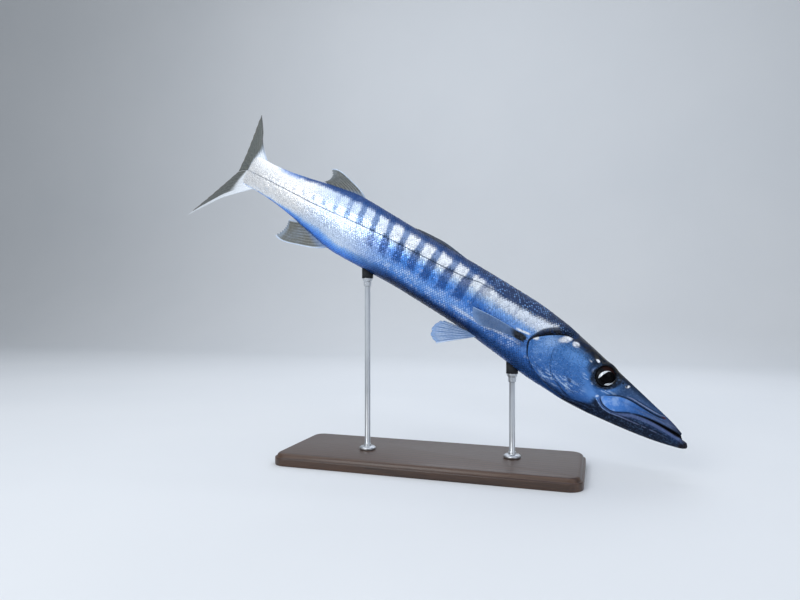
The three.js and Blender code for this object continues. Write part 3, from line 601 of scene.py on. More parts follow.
skin = dict(
    upper=74, lower=64,            # points from the back to the mouth's line, and on to the belly
    inside=9,                      # points across the palate and the floor of the mouth
    steps=[(-0.0195, 0.7), (0.0, 0.85), (0.03, 0.88), (0.19, 0.9), (0.23, 1.3), (0.26, 1.0), (0.29, 0.85),
           (0.31, 1.0), (0.335, 1.9), (0.37, 8.0), (0.93, 8.5), (0.98, 4.0), (1.008, 2.5)],  # in millimetres
    coatDepth=0.42,                # the skin lies this far inside where scales cover it
    chin=-0.0195, upperTip=-0.0006, halved=0.345, tailEnd=1.008,   # behind halved, half as many go round
)


def stationsFrom(start, end):  # stations at the spacing that the table asks for
    spacing = throughRows(skin["steps"])
    made = [start]
    while made[-1] < end:
        made.append(made[-1] + float(spacing(made[-1])) * mm)
    made = np.array(made)
    return start + (made - start) * (end - start) / (made[-1] - start)


def halfProfile(t):  # the left half of a section from back to belly: side, level and distance run
    back, belly, half, widest, squareUp, squareDown = [float(v) for v in sectionAt(t)]
    fine = np.linspace(0, math.pi / 2, 241)
    runs = []
    for height, square in ((back - widest, squareUp), (belly - widest, squareDown)):
        across = np.concatenate([np.sin(fine), (1 - np.cos(fine) ** square) ** (1 / square)])
        across = np.unique(np.clip(across, 0, 1))
        runs.append((half * across, widest + height * (1 - across ** square) ** (1 / square)))
    y = np.concatenate([runs[0][0], runs[1][0][::-1][1:]])
    z = np.concatenate([runs[0][1], runs[1][1][::-1][1:]])
    run = np.concatenate([[0], np.cumsum(np.hypot(np.diff(y), np.diff(z)))])
    return y, z, run


def arcPoints(t, fromLevel, toLevel, count):  # the left half between two levels, closer on the side
    y, z, run = halfProfile(t)
    weight = 0.55 + 0.45 * (y[1:] + y[:-1]) / 2 / y.max()
    run = np.concatenate([[0], np.cumsum(np.diff(run) * weight)])
    start, end = np.interp([-fromLevel, -toLevel], -z, run)
    at = np.linspace(start, end, count + 1)
    return np.stack([np.full(count + 1, t), np.interp(at, run, y), np.interp(at, run, z)], 1)


def outWays(points):  # the way out of the section at each point
    t, y, z = points[:, 0], np.abs(points[:, 1]), points[:, 2]
    back, belly, half, widest, squareUp, squareDown = sectionAt(t)
    above = z > widest
    height = np.where(above, back - widest, widest - belly)
    square = np.where(above, squareUp, squareDown)
    ny = np.clip(y / half, 0, 1) ** (square - 1) / half
    nz = np.clip(np.abs(z - widest) / height, 0, 1) ** (square - 1) / height * np.sign(z - widest)
    size = np.hypot(ny, nz) + 1e-9
    return np.stack([0 * t, ny / size * np.sign(points[:, 1] + 1e-12), nz / size], 1)


def coatCover(t, z):  # where scales cover the skin, 0 to 1
    gap, side, _ = fromLine(t, z, gillEdge["line"])
    behind = np.where(side > 0, gap, -gap) * mm
    nape = smooth(0.226, 0.244, t) * smooth(0.037, 0.042, z)
    body = smooth(0.002, 0.006, np.where(t > 0.312, 1, behind)) * smooth(0.24, 0.25, t)
    return np.maximum(nape * (t < 0.31), body) * smooth(1.0, 1.2, pitGap(t, z))


class Loft:  # rings of points and the faces between them
    def __init__(self):
        self.rings, self.faces, self.count = [], [], 0

    def ring(self, points):  # adds a ring and gives its first point's number
        self.rings.append(points)
        self.count += len(points)
        return self.count - len(points)

    def strip(self, a, b, count):
        for j in range(count):
            k = (j + 1) % count
            self.faces.append((a + j, b + j, b + k, a + k))

    def halve(self, a, b, count):  # from a ring to one with every other point
        for j in range(0, count, 2):
            k = (j + 2) % count
            self.faces.append((a + j, b + j // 2, b + k // 2, a + k, a + j + 1))

    def cap(self, start, count, tip):
        centre = self.ring(np.array([tip]))
        self.faces.extend((start + j, start + (j + 1) % count, centre) for j in range(count))


def mirrorArc(arc):  # right edge, over the middle, left edge
    return np.vstack([arc[::-1] * [1, -1, 1], arc[1:]])


def acrossMouth(edge, lift):  # the line across the mouth, from the left edge to the right
    count = skin["inside"]
    s = np.linspace(1, -1, count + 2)[1:-1]
    return np.stack([np.full(count, edge[0]), s * edge[1], edge[2] + lift(s)], 1)


def jawRing(jaw, t):  # a jaw's skin and the palate or the floor of the mouth
    gape = float(gapeAt(t))
    back, belly = float(sectionCurves[0](t)), float(sectionCurves[1](t))
    level = float(mouthLevel(t)) + (gape / 2 if jaw == "upper" else -gape / 2)
    level = min(level, back - 0.12 * mm)
    if jaw == "upper":
        arc = mirrorArc(arcPoints(t, back, level, skin["upper"]))
        arch = 0.25 * gape * smooth(skin["upperTip"], 0.012, t)
        return np.vstack([arc, acrossMouth(arc[-1], lambda s: arch * (1 - s ** 2))])
    half = arcPoints(t, level, belly, skin["lower"])
    tongue = gape * smooth(-0.008, 0.001, t) * 1.02
    floor = acrossMouth(half[0], lambda s: tongue * (1 - smooth(0.25, 0.8, np.abs(s))))
    return np.vstack([half, half[-2::-1] * [1, -1, 1], floor[::-1]])


def loftJaw(loft, jaw, stations):
    last = None
    for t in stations:
        ring = jawRing(jaw, t)
        start = loft.ring(ring)
        if last is None:
            loft.cap(start, len(ring), ring.mean(0) - [0.25 * mm, 0, 0])
        else:
            loft.strip(last, start, len(ring))
        last = start


splitLevel = throughRows([  # where a ring's upper points end
    (mouth["gapeTo"], float(mouthLevel(mouth["gapeTo"]))), (0.13, -0.02), (0.2, -0.012), (0.35, 0.0),
    (1.1, 0.0)])


def wholeRing(t, step=1):
    back, belly, level = float(sectionCurves[0](t)), float(sectionCurves[1](t)), float(splitLevel(t))
    above = mirrorArc(arcPoints(t, back, level, skin["upper"] // step))
    below = arcPoints(t, level, belly, skin["lower"] // step)
    return np.vstack([above, below[1:], below[-2:0:-1] * [1, -1, 1]])


def loftTrunk(loft):
    rear = stationsFrom(mouth["gapeTo"], skin["halved"])
    body = stationsFrom(skin["halved"], skin["tailEnd"])
    last = loft.ring(wholeRing(rear[0]))
    count = loft.count - last
    for t in rear[1:]:
        start = loft.ring(wholeRing(t))
        loft.strip(last, start, count)
        last = start
    for t in body[1:]:
        start = loft.ring(wholeRing(t, 2))
        if t == body[1]:
            loft.halve(last, start, count)
        else:
            loft.strip(last, start, count // 2)
        last = start
    loft.cap(last, count // 2, np.array([body[-1] + 0.5 * mm, 0, 0]))


def makeSkin():
    loft = Loft()
    front = stationsFrom(skin["chin"], mouth["gapeTo"])
    loftJaw(loft, "upper", front[front >= skin["upperTip"]])
    loftJaw(loft, "lower", front)
    loftTrunk(loft)
    surface = np.vstack(loft.rings)
    t, y, z = surface.T
    onHead = t < 0.345
    relief, dark = np.zeros(len(t)), np.zeros(len(t))
    relief[onHead], dark[onHead] = headRelief(t[onHead], y[onHead], z[onHead])
    # inside the mouth, painted near black as shade
    insideMouth = np.abs(halfWidthAt(t, z) - np.abs(y)) > 0.3 * mm
    insideMouth &= t < mouth["gapeTo"] + 0.001
    relief = np.where(insideMouth, 0, relief - skin["coatDepth"] * coatCover(t, z))
    relief *= smooth(skin["chin"], -0.012, t)
    shape, orbit = setOrbits(surface + outWays(surface) * (relief * mm)[:, None])
    # painted shade in the creases, slit, gill edge and nostrils, and round the eye socket
    attributes = {"fish": surface, "mosaic": surface, "lines": dark, "orbit": orbit,
                  "mouthInside": insideMouth.astype(float)}
    return faceOut(meshObject("body_skin", posed(shape), loft.faces, attributes=attributes))


# Markings, the same on skin and scales

marks = dict(
    firstBar=0.4195, barStep=0.0375, barShrink=0.00042,   # station of the bars, counted by k
    barLean=0.3,                                          # towards the tail, on the rear half
    bellyStations=[0.0, 0.075, 0.16, 0.265, 0.34, 0.45, 0.56, 0.72, 0.79, 0.85, 0.91, 1.0],
    shaded=[(0.5, 0.05), (0.65, 0.024), (0.712, 0.019), (0.764, 0.023), (0.84, 0.01), (0.89, 0.004),
            (0.96, 0.002), (1.0, 0.0015)],                # height of the painted blue shade over the belly
    lateralLine=[(0.3, 0.038), (0.4, 0.0365), (0.435, 0.0345), (0.465, 0.0285), (0.502, 0.0245),
                 (0.535, 0.0225), (0.566, 0.02), (0.6, 0.0183), (0.632, 0.0165), (0.665, 0.0137),
                 (0.7, 0.011), (0.753, 0.0055), (0.8, 0.002), (0.85, 0.0005), (0.9, -0.0008), (1.0, -0.003)],
    lineStrength=[(0.3, 0.35), (0.45, 0.75), (0.8, 0.8), (0.95, 0.6), (1.0, 0.3)],
    backEdge=[(0.0, 0.0005), (0.02, 0.0045), (0.04, 0.0095), (0.1, 0.0185), (0.14, 0.026), (0.19, 0.0272),
              (0.225, 0.0335), (0.25, 0.034), (0.266, 0.037), (0.2765, 0.0425), (0.283, 0.0405),
              (0.29, 0.038), (0.31, 0.037), (0.34, 0.0335), (0.385, 0.0315), (0.43, 0.0405), (0.5, 0.0445),
              (0.62, 0.046), (0.7, 0.0475), (0.8, 0.0415), (0.88, 0.0322), (0.92, 0.0335), (1.0, 0.037)],
    underFin=[(0.3, -0.021), (0.3285, -0.0208), (0.356, -0.0228), (0.3755, -0.0268), (0.395, -0.0292),
              (0.4415, -0.029), (0.5, -0.0275)],          # level of the pectoral fin's lower edge
    frontTones=[                                          # these three run from the belly up; their dark lowest tones are painted shade on the belly and under the head
        (0.04, "#10244a"), (0.11, "#081935"), (0.165, "#0c2650"), (0.215, "#225397"), (0.26, "#5590e0"),
        (0.33, "#82b2f2"), (0.38, "#5f97e6"), (0.44, "#447fd0"), (0.5, "#4787de"), (0.545, "#79abf0"),
        # the near-white at the top is the silver flank, painted as bright as the light's reflection on it
        (0.6, "#b9d6f8"), (0.66, "#eaf3fd"), (0.85, "#f6faff")],
    rearTones=[(0.0, "#275cb2"), (0.35, "#4e90f2"), (0.7, "#86b8fa"), (0.95, "#bcd7fb"), (1.0, "#d3e4fb")],
    headTones=[
        (0.05, "#14294c"), (0.1, "#1d3a68"), (0.16, "#2f5ea2"), (0.25, "#3a6cb2"), (0.4, "#3f74ba"),
        (0.5, "#457bc1"), (0.6, "#558bd0"), (0.67, "#4a78b2"), (0.76, "#2b4264")],
)


def softSpot(m, t, z, station, level, long, high, lean=0.0):  # a soft oval on the side
    c, s = math.cos(math.radians(lean)), math.sin(math.radians(lean))
    a = ((t - station) * c + (z - level) * s) / long
    b = ((z - level) * c - (t - station) * s) / high
    return m.step(1.0, 0.35, a.maths("SQRT", a * a + b * b))


def readPlace(m):  # where a point lies on the fish; station and level jump from scale to scale
    spot = m.attribute("fish", "Vector")
    mosaic = m.attribute("mosaic", "Vector")
    t, _, z = m.parts(spot)
    station, _, level = m.parts(mosaic)
    level = level + (m.noise(mosaic, 70, 2) - 0.5) * 0.006
    station = station + (m.noise(mosaic, 52, 2) - 0.5) * 0.006
    return dict(spot=spot, mosaic=mosaic, t=t, z=z, station=station, level=level,
                grain=m.noise(mosaic, 95, 4, 0.6))


def groundColours(m, at):  # the flank without its bars, and the gill cover
    t, station, level = at["t"], at["station"], at["level"]
    belly = m.profile(t, [(s, float(sectionCurves[1](s))) for s in marks["bellyStations"]])
    fromBelly = (level - belly) / m.profile(t, marks["shaded"])
    height = (level + 0.07) / 0.14
    rear = m.colours(fromBelly, marks["rearTones"])
    # the upper rear flank near white: its silver, painted as bright as the light's reflection on it
    upward = m.blend(m.step(0.76, 0.85, t), "#cfe0f8", "#fbfdff")
    rear = m.blend(m.step(0.9, 1.9, fromBelly), rear, upward)
    body = m.blend(m.step(0.58, 0.72, station), m.colours(height, marks["frontTones"]), rear)
    ahead = m.step(0.42, 0.36, station)
    low = ahead * m.step(-0.012, -0.021, level)
    clouded = ahead * m.step(0.022, 0.014, level) * m.step(-0.01, 0.0, level)
    shoulder = m.step(0.405, 0.37, station) * m.step(0.01, 0.019, level) * m.step(0.038, 0.033, level)
    streaks = m.noise(m.stretched(at["mosaic"], (0.35, 1.0, 1.6)), 150, 3, 0.6)
    pale = m.step(0.5, 0.8, streaks) * m.step(0.026, 0.01, level) * m.step(-0.045, -0.035, level)
    blue = m.step(0.5, 0.22, streaks) * m.step(0.75, 0.6, t) * m.step(0.03, 0.02, level)
    body = m.paint(body, (low * 0.6, "#2f62ab"), (clouded * 0.6, "#7fabe8"), (shoulder * 0.88, "#e6f0fe"),
                   (pale * 0.5, "#d3e4fb"), (blue * 0.45, "#2f62ae"))
    return body, m.colours(height, marks["headTones"])


def barMasks(m, at, over):  # bars above, below and across the lateral line, and the dots behind them
    t, z, station, level = at["t"], at["z"], at["station"], at["level"]
    along = station - m.step(0.5, 0.66, t) * marks["barLean"] * (z - 0.02)
    inside = marks["barStep"] ** 2 - 4 * marks["barShrink"] * (along - marks["firstBar"])
    k = (marks["barStep"] - inside.maths("SQRT", inside)) / (2 * marks["barShrink"])
    wave = k.maths("COSINE", k * (2 * math.pi)) * 0.5 + 0.5
    ragged = wave + (at["grain"] - 0.5) * 0.5
    reach = m.step(0.385, 0.45, station)
    above = m.step(0.5, 0.86, ragged) * m.step(-0.002, 0.001, over) * m.step(0.79, 0.69, station)
    below = m.step(0.22, 0.68, ragged) * m.step(-0.021, -0.009, level) * m.step(0.001, -0.002, over)
    below = below * m.step(0.68, 0.64, station)
    dots = m.step(0.6, 0.95, ragged) * m.step(0.003, 0.0065, over) * m.step(0.0185, 0.013, over)
    dots = dots * m.step(0.665, 0.7, t) * m.step(0.93, 0.74, t)
    across = m.step(0.45, 0.8, ragged) * reach * m.step(0.0065, 0.001, abs(over)) * m.step(0.71, 0.62, t)
    return above * reach, below * reach, dots, across


def finMarks(m, at):  # the hollow behind the pectoral fin's root, its pale rim and the fin's pale lower edge
    t, z = at["t"], at["z"]
    pit = softSpot(m, t, z, pectoralPit["station"], pectoralPit["level"], pectoralPit["long"] * 1.3,
                   pectoralPit["high"] * 1.45, pectoralPit["lean"])
    rim = m.step(0.0026, 0.0012, abs(z - 0.0012 + (t - pectoralPit["station"]) * 0.16))
    rim = rim * m.step(0.34, 0.33, t) * m.step(0.307, 0.314, t)
    under = z - m.profile(t, marks["underFin"]) + (at["grain"] - 0.5) * 0.003
    edge = m.step(0.0042, 0.0012, abs(under)) * m.step(0.312, 0.326, t) * m.step(0.47, 0.43, t)
    return pit, rim, edge * m.step(0.3, 0.5, m.noise(at["spot"], 60, 3))


def backColours(m, at):  # how far the dark back covers, and its colour
    t = at["t"]
    above = at["level"] - m.profile(t, marks["backEdge"])
    cloud = m.noise(at["spot"], 28, 2)
    colour = m.paint(
        m.blend(m.step(0.22, 0.34, t), "#0f1a2e", "#0c2c5a"), (m.step(0.4, 0.65, cloud) * 0.5, "#13223a"),
        (m.step(0.55, 0.75, t) * 0.85, "#0f3c7c"),
        (m.step(0.36, 0.45, t) * m.step(0.014, 0.004, above) * 0.5, "#2b5494"))
    return m.step(-0.004, 0.005, above + (at["grain"] - 0.5) * 0.007), colour


def markings(m):
    at = readPlace(m)
    t, z, level = at["t"], at["z"], at["level"]
    body, head = groundColours(m, at)
    line = m.profile(t, marks["lateralLine"])
    above, below, dots, across = barMasks(m, at, level - line)
    pit, pitRim, finEdge = finMarks(m, at)
    dusk, back = backColours(m, at)
    shade = m.attribute("gillShade")
    # painted shadow under the pectoral fin
    finShadow = softSpot(m, t, z, 0.316, -0.0195, 0.017, 0.0095, -8)
    highBlue = m.step(0.024, 0.031, level) * m.step(0.84, 0.88, t) * m.step(0.94, 0.91, t)
    colour = m.paint(
        body, (above * 0.85, "#5578ad"), (below * 0.8, "#23498a"), (dots * 0.85, "#6f8db6"),
        (across * 0.75, "#1f3557"), (m.attribute("gillSide"), head), (dusk * 0.97, back),
        (m.step(0.02, 0.4, shade) * 0.93, "#1b2a42"), (m.step(0.5, 0.95, shade) * 0.95, "#080c15"),
        (finShadow * 0.65, "#2a4a7a"), (pit * 0.98, "#140806"), (pitRim * 0.95, "#f0f5fd"),
        (finEdge * 0.8, "#dfebfd"), (highBlue * 0.5, "#6f9ee6"))
    thread = abs(z - line + (m.noise(at["spot"], 300, 2) - 0.5) * 0.0008)
    thread = m.step(0.0017, 0.0006, thread) * m.step(0.31, 0.345, t) * m.profile(t, marks["lineStrength"])
    return dict(at, dusk=dusk, pit=pit, colour=colour, thread=thread)


cheek = dict(  # a soft oval is station, level, length, height and lean
    patches=[(0.276, 0.006, 0.028, 0.024, -20, 0.6, "#79a9ea"),   # and the share and tone
             # the next patch is a painted highlight on the gill cover, softened
             (0.27, 0.0145, 0.022, 0.012, -36, 0.55, "#a3c6f6"),
             (0.218, 0.012, 0.03, 0.014, -10, 0.45, "#6a9fe2"),
             (0.172, -0.022, 0.03, 0.012, 20, 0.45, "#6aa0e6")],
    lowLight=(0.222, -0.0375, 0.058, 0.016, -8), rearLight=(0.277, -0.014, 0.022, 0.022, -30),
    darkSpot=(0.208, -0.0275, 0.0065, 0.0045, 20), paleSpot=(0.153, -0.0235, 0.0042, 0.0028, -50),
    behindEye=(0.187, 0.014, 0.014, 0.016),
    # painted highlights on the head, as soft ovals with their shares
    paintedHighlights=[(0.2535, 0.0285, 0.0155, 0.0072, -42, 1), (0.233, 0.032, 0.0078, 0.0062, 0, 1),
            (0.2985, 0.0045, 0.0088, 0.0058, 4, 1), (0.1858, 0.0296, 0.0052, 0.003, 10, 1),
            (0.1965, 0.0222, 0.0045, 0.0022, 20, 0.5), (0.119, 0.0197, 0.0052, 0.003, -50, 1)],   # and share
    throat=[(0.14, -0.0385), (0.155, -0.0415), (0.1655, -0.0455), (0.1825, -0.0565), (0.1995, -0.0605),
            (0.2135, -0.059), (0.2335, -0.055), (0.2515, -0.0525), (0.27, -0.0485), (0.31, -0.048)],
    band=[(0.1, 0.0022), (0.115, -0.0005), (0.125, -0.004), (0.147, -0.0085), (0.1755, -0.0095),
          (0.195, -0.004), (0.21, 0.0)],                  # the pale band under the eye
    mask=dict(station=0.158, level=0.0125, long=0.0275, high=0.0205),   # the dark oval round the eye
    maskTurn=(0.384, 0.857, 0.691),                       # lays it level when the fish dives
)


def paintedHighlightMask(m, marked, soft, patchy):  # the painted highlights on the head
    shiftT = marked["t"] + (m.noise(marked["spot"], 95, 4, 0.65) - 0.5) * 0.008
    shiftZ = soft + (patchy - 0.5) * 0.005
    paintedHighlight, *others = [softSpot(m, shiftT, shiftZ, *place) * share for *place, share in cheek["paintedHighlights"]]
    for other in others:
        paintedHighlight = paintedHighlight.maths("MAXIMUM", paintedHighlight, other)
    return paintedHighlight * m.step(0.26, 0.46, m.noise(marked["spot"], 170, 4, 0.65))


def eyeMask(m, marked):
    mask = cheek["mask"]
    sine, cosine, rise = cheek["maskTurn"]
    a, b = (marked["t"] - mask["station"]) / mask["long"], (marked["z"] - mask["level"]) / mask["high"]
    a, b = b * sine - a * cosine, a * rise + b * cosine
    return m.step(1.14, 0.92, (a * a + b * b) ** 0.5 + (marked["grain"] - 0.5) * 0.2)


def cheekColours(m, marked, soft):  # what the cheek's skin and its scales share, and its painted highlights
    t, z, spot = marked["t"], marked["z"], marked["spot"]
    head = m.attribute("gillSide")
    patchy = m.noise(spot, 75, 3)
    flecks = m.step(0.36, 0.2, m.cells(m.stretched(spot, (1.0, 1.0, 1.3)), 210)) * m.step(0.46, 0.6, patchy)
    edgeLight = m.step(0.222, 0.252, t - z * 0.25) * m.step(-0.05, -0.042, z)
    streaky = m.step(0.46, 0.62, m.noise(m.stretched(spot, (0.45, 1.0, 1.3)), 165, 4, 0.65))
    lowLight = softSpot(m, t, z, *cheek["lowLight"])
    rearLight = softSpot(m, t, z, *cheek["rearLight"])
    dots = m.step(0.3, 0.16, m.cells(spot, 165)) * m.step(0.53, 0.64, m.noise(spot, 48, 3))
    # painted shade under the head, below the throat line
    throat = m.step(0.003, -0.003, soft - m.profile(t, cheek["throat"]))
    band = m.step(0.0052, 0.001, abs(soft - m.profile(t, cheek["band"])))
    band = band * m.step(0.1, 0.115, t) * m.step(0.202, 0.185, t)
    colour = m.paint(
        marked["colour"],
        *[(softSpot(m, t, soft, *place) * head * share, tone) for *place, share, tone in cheek["patches"]],
        (m.step(0.45, 0.75, m.noise(spot, 36, 3)) * head * 0.3, "#2f5f9f"),
        (throat * head * m.step(0.14, 0.16, t) * 0.92, "#0e1d36"),
        (flecks * edgeLight * head * 0.4, "#a9cbf8"), (flecks * lowLight * head * 0.4, "#9cc2f6"),
        (streaky * lowLight * (1 - throat) * head * 0.9, "#bdd8fb"),
        (streaky * rearLight * head * 0.35, "#93b9ee"),
        (softSpot(m, t, z, *cheek["darkSpot"]) * 0.7, "#1d3b69"),
        (band * m.step(0.25, 0.55, streaky) * 0.8, "#b4d0f4"),
        (softSpot(m, t, z, *cheek["paleSpot"]) * 0.8, "#cfe1fb"), (dots * head * 0.25, "#1a3766"))
    paintedHighlight = paintedHighlightMask(m, marked, soft, patchy)
    brow = m.step(0.014, 0.024, z) * m.step(0.12, 0.14, t) * m.step(0.22, 0.185, t)
    bronze = m.step(0.45, 0.62, m.noise(spot, 130, 3)) * m.step(0.02, 0.03, z) * m.step(0.1, 0.13, t)
    colour = m.paint(
        colour, (softSpot(m, t, z, *cheek["behindEye"]) * 0.8, "#16243d"),
        (eyeMask(m, marked) * 0.95, "#0c1219"), (brow * 0.85, "#141c28"),
        (bronze * m.step(0.24, 0.19, t) * 0.32, "#4f4a3c"), (paintedHighlight * 0.95, "#f2f7ff"))
    return colour, paintedHighlight


jaws = dict(
    groove=[(0.0, 0.02), (0.03, 0.0125), (0.036, 0.0105), *creases[0]["line"][1:], (0.15, -0.03)],
    slit=[(0.0, -0.0014), (0.03, -0.003), (0.055, -0.006), (0.07, -0.0092), (0.084, -0.0132),
          (0.0925, -0.0178), (0.101, -0.0232), (0.109, -0.028), (0.1165, -0.0313), (0.1265, -0.0322),
          (0.1378, -0.03), (0.1452, -0.0248), (0.148, -0.019)],
    lowEdge=[(0.0, -0.0155), (0.022, -0.0168), (0.0405, -0.0195), (0.054, -0.0222), (0.0755, -0.0262),
             (0.1, -0.0312), (0.1185, -0.0358), (0.133, -0.0362), (0.1465, -0.031), (0.152, -0.028),
             (0.16, -0.028)],
    snoutTones=[(0.0, "#294265"), (0.3, "#2d456a"), (0.6, "#1f3350"), (1.0, "#142133")],
    plateTones=[(0.0, "#1f2736"), (0.12, "#3a4562"), (0.35, "#3d5480"), (0.55, "#3360a2"),
                (0.78, "#4680d0"), (0.92, "#5d97ea"), (0.99, "#4c84d2")],
    lipTones=[(0.0, "#1a2236"), (0.06, "#3a4768"), (0.16, "#4f5c84"), (0.34, "#48557a"),
              (0.44, "#182541"), (0.55, "#0a1830"), (1.0, "#08162c")],
    jawUnderShadeTones=[(0.0, "#0c182c"), (0.4, "#091325"), (0.9, "#101c30")],
    edgeTones=[(0.0, "#6a7696"), (0.6, "#7f8cb8"), (1.0, "#8fb4ee")],
    edgeStrength=[(0.0, 0.4), (0.08, 0.6), (0.125, 0.8), (0.15, 1.0)],
    redSpots=[(0.0395, 0.0098, 0.006, 0.0022, -14), (0.349, -0.0125, 0.006, 0.003)],
)


def jawCoats(m, marked, soft):  # the coats of snout, jaws and lip, and where snout, lip and the underside's painted shade lie
    t, z, spot = marked["t"], marked["z"], marked["spot"]
    groove, slit, lowEdge = [m.profile(t, jaws[key]) for key in ("groove", "slit", "lowEdge")]
    eyeGap = ((t - eye["station"]) ** 2 + (z - eye["level"]) ** 2) ** 0.5
    snout = m.step(-0.0008, 0.0008, z - groove) * m.step(0.152, 0.118, t) * m.step(0.024, 0.03, eyeGap)
    pale = m.step(0.0013, 0.0004, abs(soft - groove - 0.0037))
    pale = pale * m.step(0.03, 0.045, t) * m.step(0.115, 0.1, t)
    upper = m.step(0.0008, -0.0008, z - groove) * m.step(-0.0008, 0.0008, z - slit)
    upper = upper * m.step(0.1485, 0.147, t)
    shine = m.step(0.42, 0.66, m.noise(spot, 105, 4, 0.6)) * m.step(0.085, 0.13, t)
    middle = m.step(0.0016, 0.0004, abs(soft - (groove + slit) * 0.5)) * m.step(0.1, 0.08, t)
    under = m.step(0.0008, -0.0008, z - slit) * m.step(0.152, 0.146, t)
    lip = m.colours((slit - soft) / 0.02, jaws["lipTones"])
    lip = m.blend(m.step(0.1, 0.135, t) * 0.6, lip, "#35609f")
    # painted shade on the jaw's underside
    jawUnderShade = m.step(0.001, -0.0016, soft - lowEdge) * m.step(0.162, 0.15, t)
    edge = m.step(0.0015, 0.0005, abs(z - lowEdge)) * m.step(0.153, 0.15, t) * m.step(0.01, 0.035, t)
    edge = edge * m.step(0.32, 0.52, m.noise(spot, 150, 3)) * m.profile(t, jaws["edgeStrength"])
    first, second = [softSpot(m, t, z, *place) for place in jaws["redSpots"]]
    coats = [
        (snout * 0.92, m.colours((soft - groove) / 0.028, jaws["snoutTones"])),
        (pale * snout * 0.75, "#8792b4"),
        (upper * 0.94, m.colours(t / 0.15, jaws["plateTones"])), (upper * shine * 0.45, "#b9d5fa"),
        (upper * middle * 0.45, "#56627f"), (under * 0.95, lip),
        (jawUnderShade * 0.96, m.colours((soft + 0.062) / 0.05, jaws["jawUnderShadeTones"])),
        (edge * 0.85, m.colours(t / 0.15, jaws["edgeTones"])), (m.step(0.003, -0.012, t) * 0.94, "#130b0a"),
        (first.maths("MAXIMUM", first, second) * 0.8, "#4c2022")]
    return coats, snout, under, jawUnderShade


def skinMaterial():
    m = Finish("fish_skin", **{"Specular IOR Level": 0.08, "Coat Roughness": 0.18, "Coat IOR": 1.36})
    marked = markings(m)
    spot = marked["spot"]
    soft = marked["z"] + (m.noise(spot, 120, 3) - 0.5) * 0.0015
    colour, paintedHighlight = cheekColours(m, marked, soft)
    coats, snout, under, jawUnderShade = jawCoats(m, marked, soft)
    head, lines = m.attribute("gillSide"), m.attribute("lines")
    socket, inMouth = m.attribute("orbit"), m.attribute("mouthInside")
    fine = m.noise(spot, 260, 5, 0.65)
    # painted highlights again over the jaws, then painted shade in the creases, the eye socket and inside
    # the mouth
    colour = m.paint(
        colour, *coats, (paintedHighlight * 0.95, "#f2f7ff"), (lines * 0.97, "#080d16"), (socket * 0.97, "#090b0f"),
        (inMouth, "#0b090c"), (marked["thread"], "#22395a"),
        (m.step(0.45, 0.8, fine) * head * 0.22 * (1 - lines) * (1 - marked["dusk"]), "#86aee6"))
    pores = m.cells(spot, 300, "DISTANCE_TO_EDGE")
    scaled = head * m.step(0.16, 0.2, marked["t"]) * (1 - lines)
    normal = m.bump(m.step(0.0, 0.1, pores) * scaled, 0.3, 0.0002)
    normal = m.bump(fine, 0.25, 0.0004, normal)
    normal = m.bump(m.noise(spot, 60, 4), 0.3, 0.0012, normal)
    dull = lines + inMouth + socket * 0.6 + marked["pit"] + jawUnderShade * 0.6 + marked["dusk"] * 0.75 + under
    dull = dull + snout * 0.3
    dull = dull.maths("MINIMUM", dull, 1)
    rough = 0.32 + dull * 0.2 + (fine - 0.5) * 0.2 - paintedHighlight * 0.12
    return m.set(Base_Color=colour, Roughness=rough, Metallic=(1 - dull) * 0.5,
                 Coat_Weight=0.42 - dull * 0.3, Normal=normal)


bodySkin = makeSkin()


def markGill(piece):  # gillSide is 1 ahead of the gill cover's rear edge, gillShade the painted shade of the slit behind it
    data = piece.data
    place = np.empty(len(data.vertices) * 3, np.float32)
    data.attributes["fish"].data.foreach_get("vector", place)
    t, z = place.reshape(-1, 3)[:, 0], place.reshape(-1, 3)[:, 2]
    side = np.where(t < 0.24, 1.0, 0.0)
    shade = np.zeros(len(t))
    close = (t > 0.2) & (t < 0.33)
    gap, way, along = fromLine(t[close], z[close], gillEdge["line"])
    side[close] = smooth(-0.5, 0.3, np.where(way > 0, -gap, gap)) * (t[close] < 0.312)
    wide = throughRows(gillEdge["shade"])(along)
    shade[close] = (1 - smooth(0.2, 1.15, gap / wide)) * (way > 0) * smooth(-0.02, 0.05, along)
    shade[close] *= mix(1, 0.4, smooth(0.42, 0.56, along))
    high = smooth(0.036, 0.04, z) * smooth(0.226, 0.236, t)
    for name, value in (("gillSide", side * (1 - high)), ("gillShade", shade)):
        layer = data.attributes.new(name, "FLOAT", "POINT")
        layer.data.foreach_set("value", value.astype(np.float32))


markGill(bodySkin)
bodySkin.data.materials.append(skinMaterial())
flesh = ["head", "lower_jaw", "trunk_front", "trunk_middle", "trunk_rear", "tail_stalk",
         "gill_cover_left", "gill_cover_right", "upper_jaw_plate_left", "upper_jaw_plate_right"]
ownPiece(bodySkin, "skin_flank", *flesh)

# Scales: a domed closed shell each, grown in offset rings over the skin from the nape to the tail

scales = dict(
    around=44, rings=[(0.22, 1.95), (0.34, 2.15), (0.6, 2.15), (0.75, 1.95), (0.9, 1.65), (1.0, 1.45)],
    start=0.228, end=1.001,
    long=2.62, wide=1.1,          # length over the ring spacing, width over the spacing within a ring
    tilt=3.0, turn=5.0, sizeSpread=0.05, seed=11, curl=33.0, lift=1.0,
    edge=[(-3.1, 0.0), (-2.7, 2.2), (-1.2, 3.35), (0.6, 3.6), (2.0, 2.9), (2.95, 1.55), (3.3, 0.0)],
    shellLong=6.4, shellWide=7.2,  # of that outline, in millimetres
    root=-0.64, tip=0.2, dome=0.26, rimDrop=0.16,
    patch=0.003, pieces=4,         # size of a scale's patch on the map, and how many pieces the coat makes
)


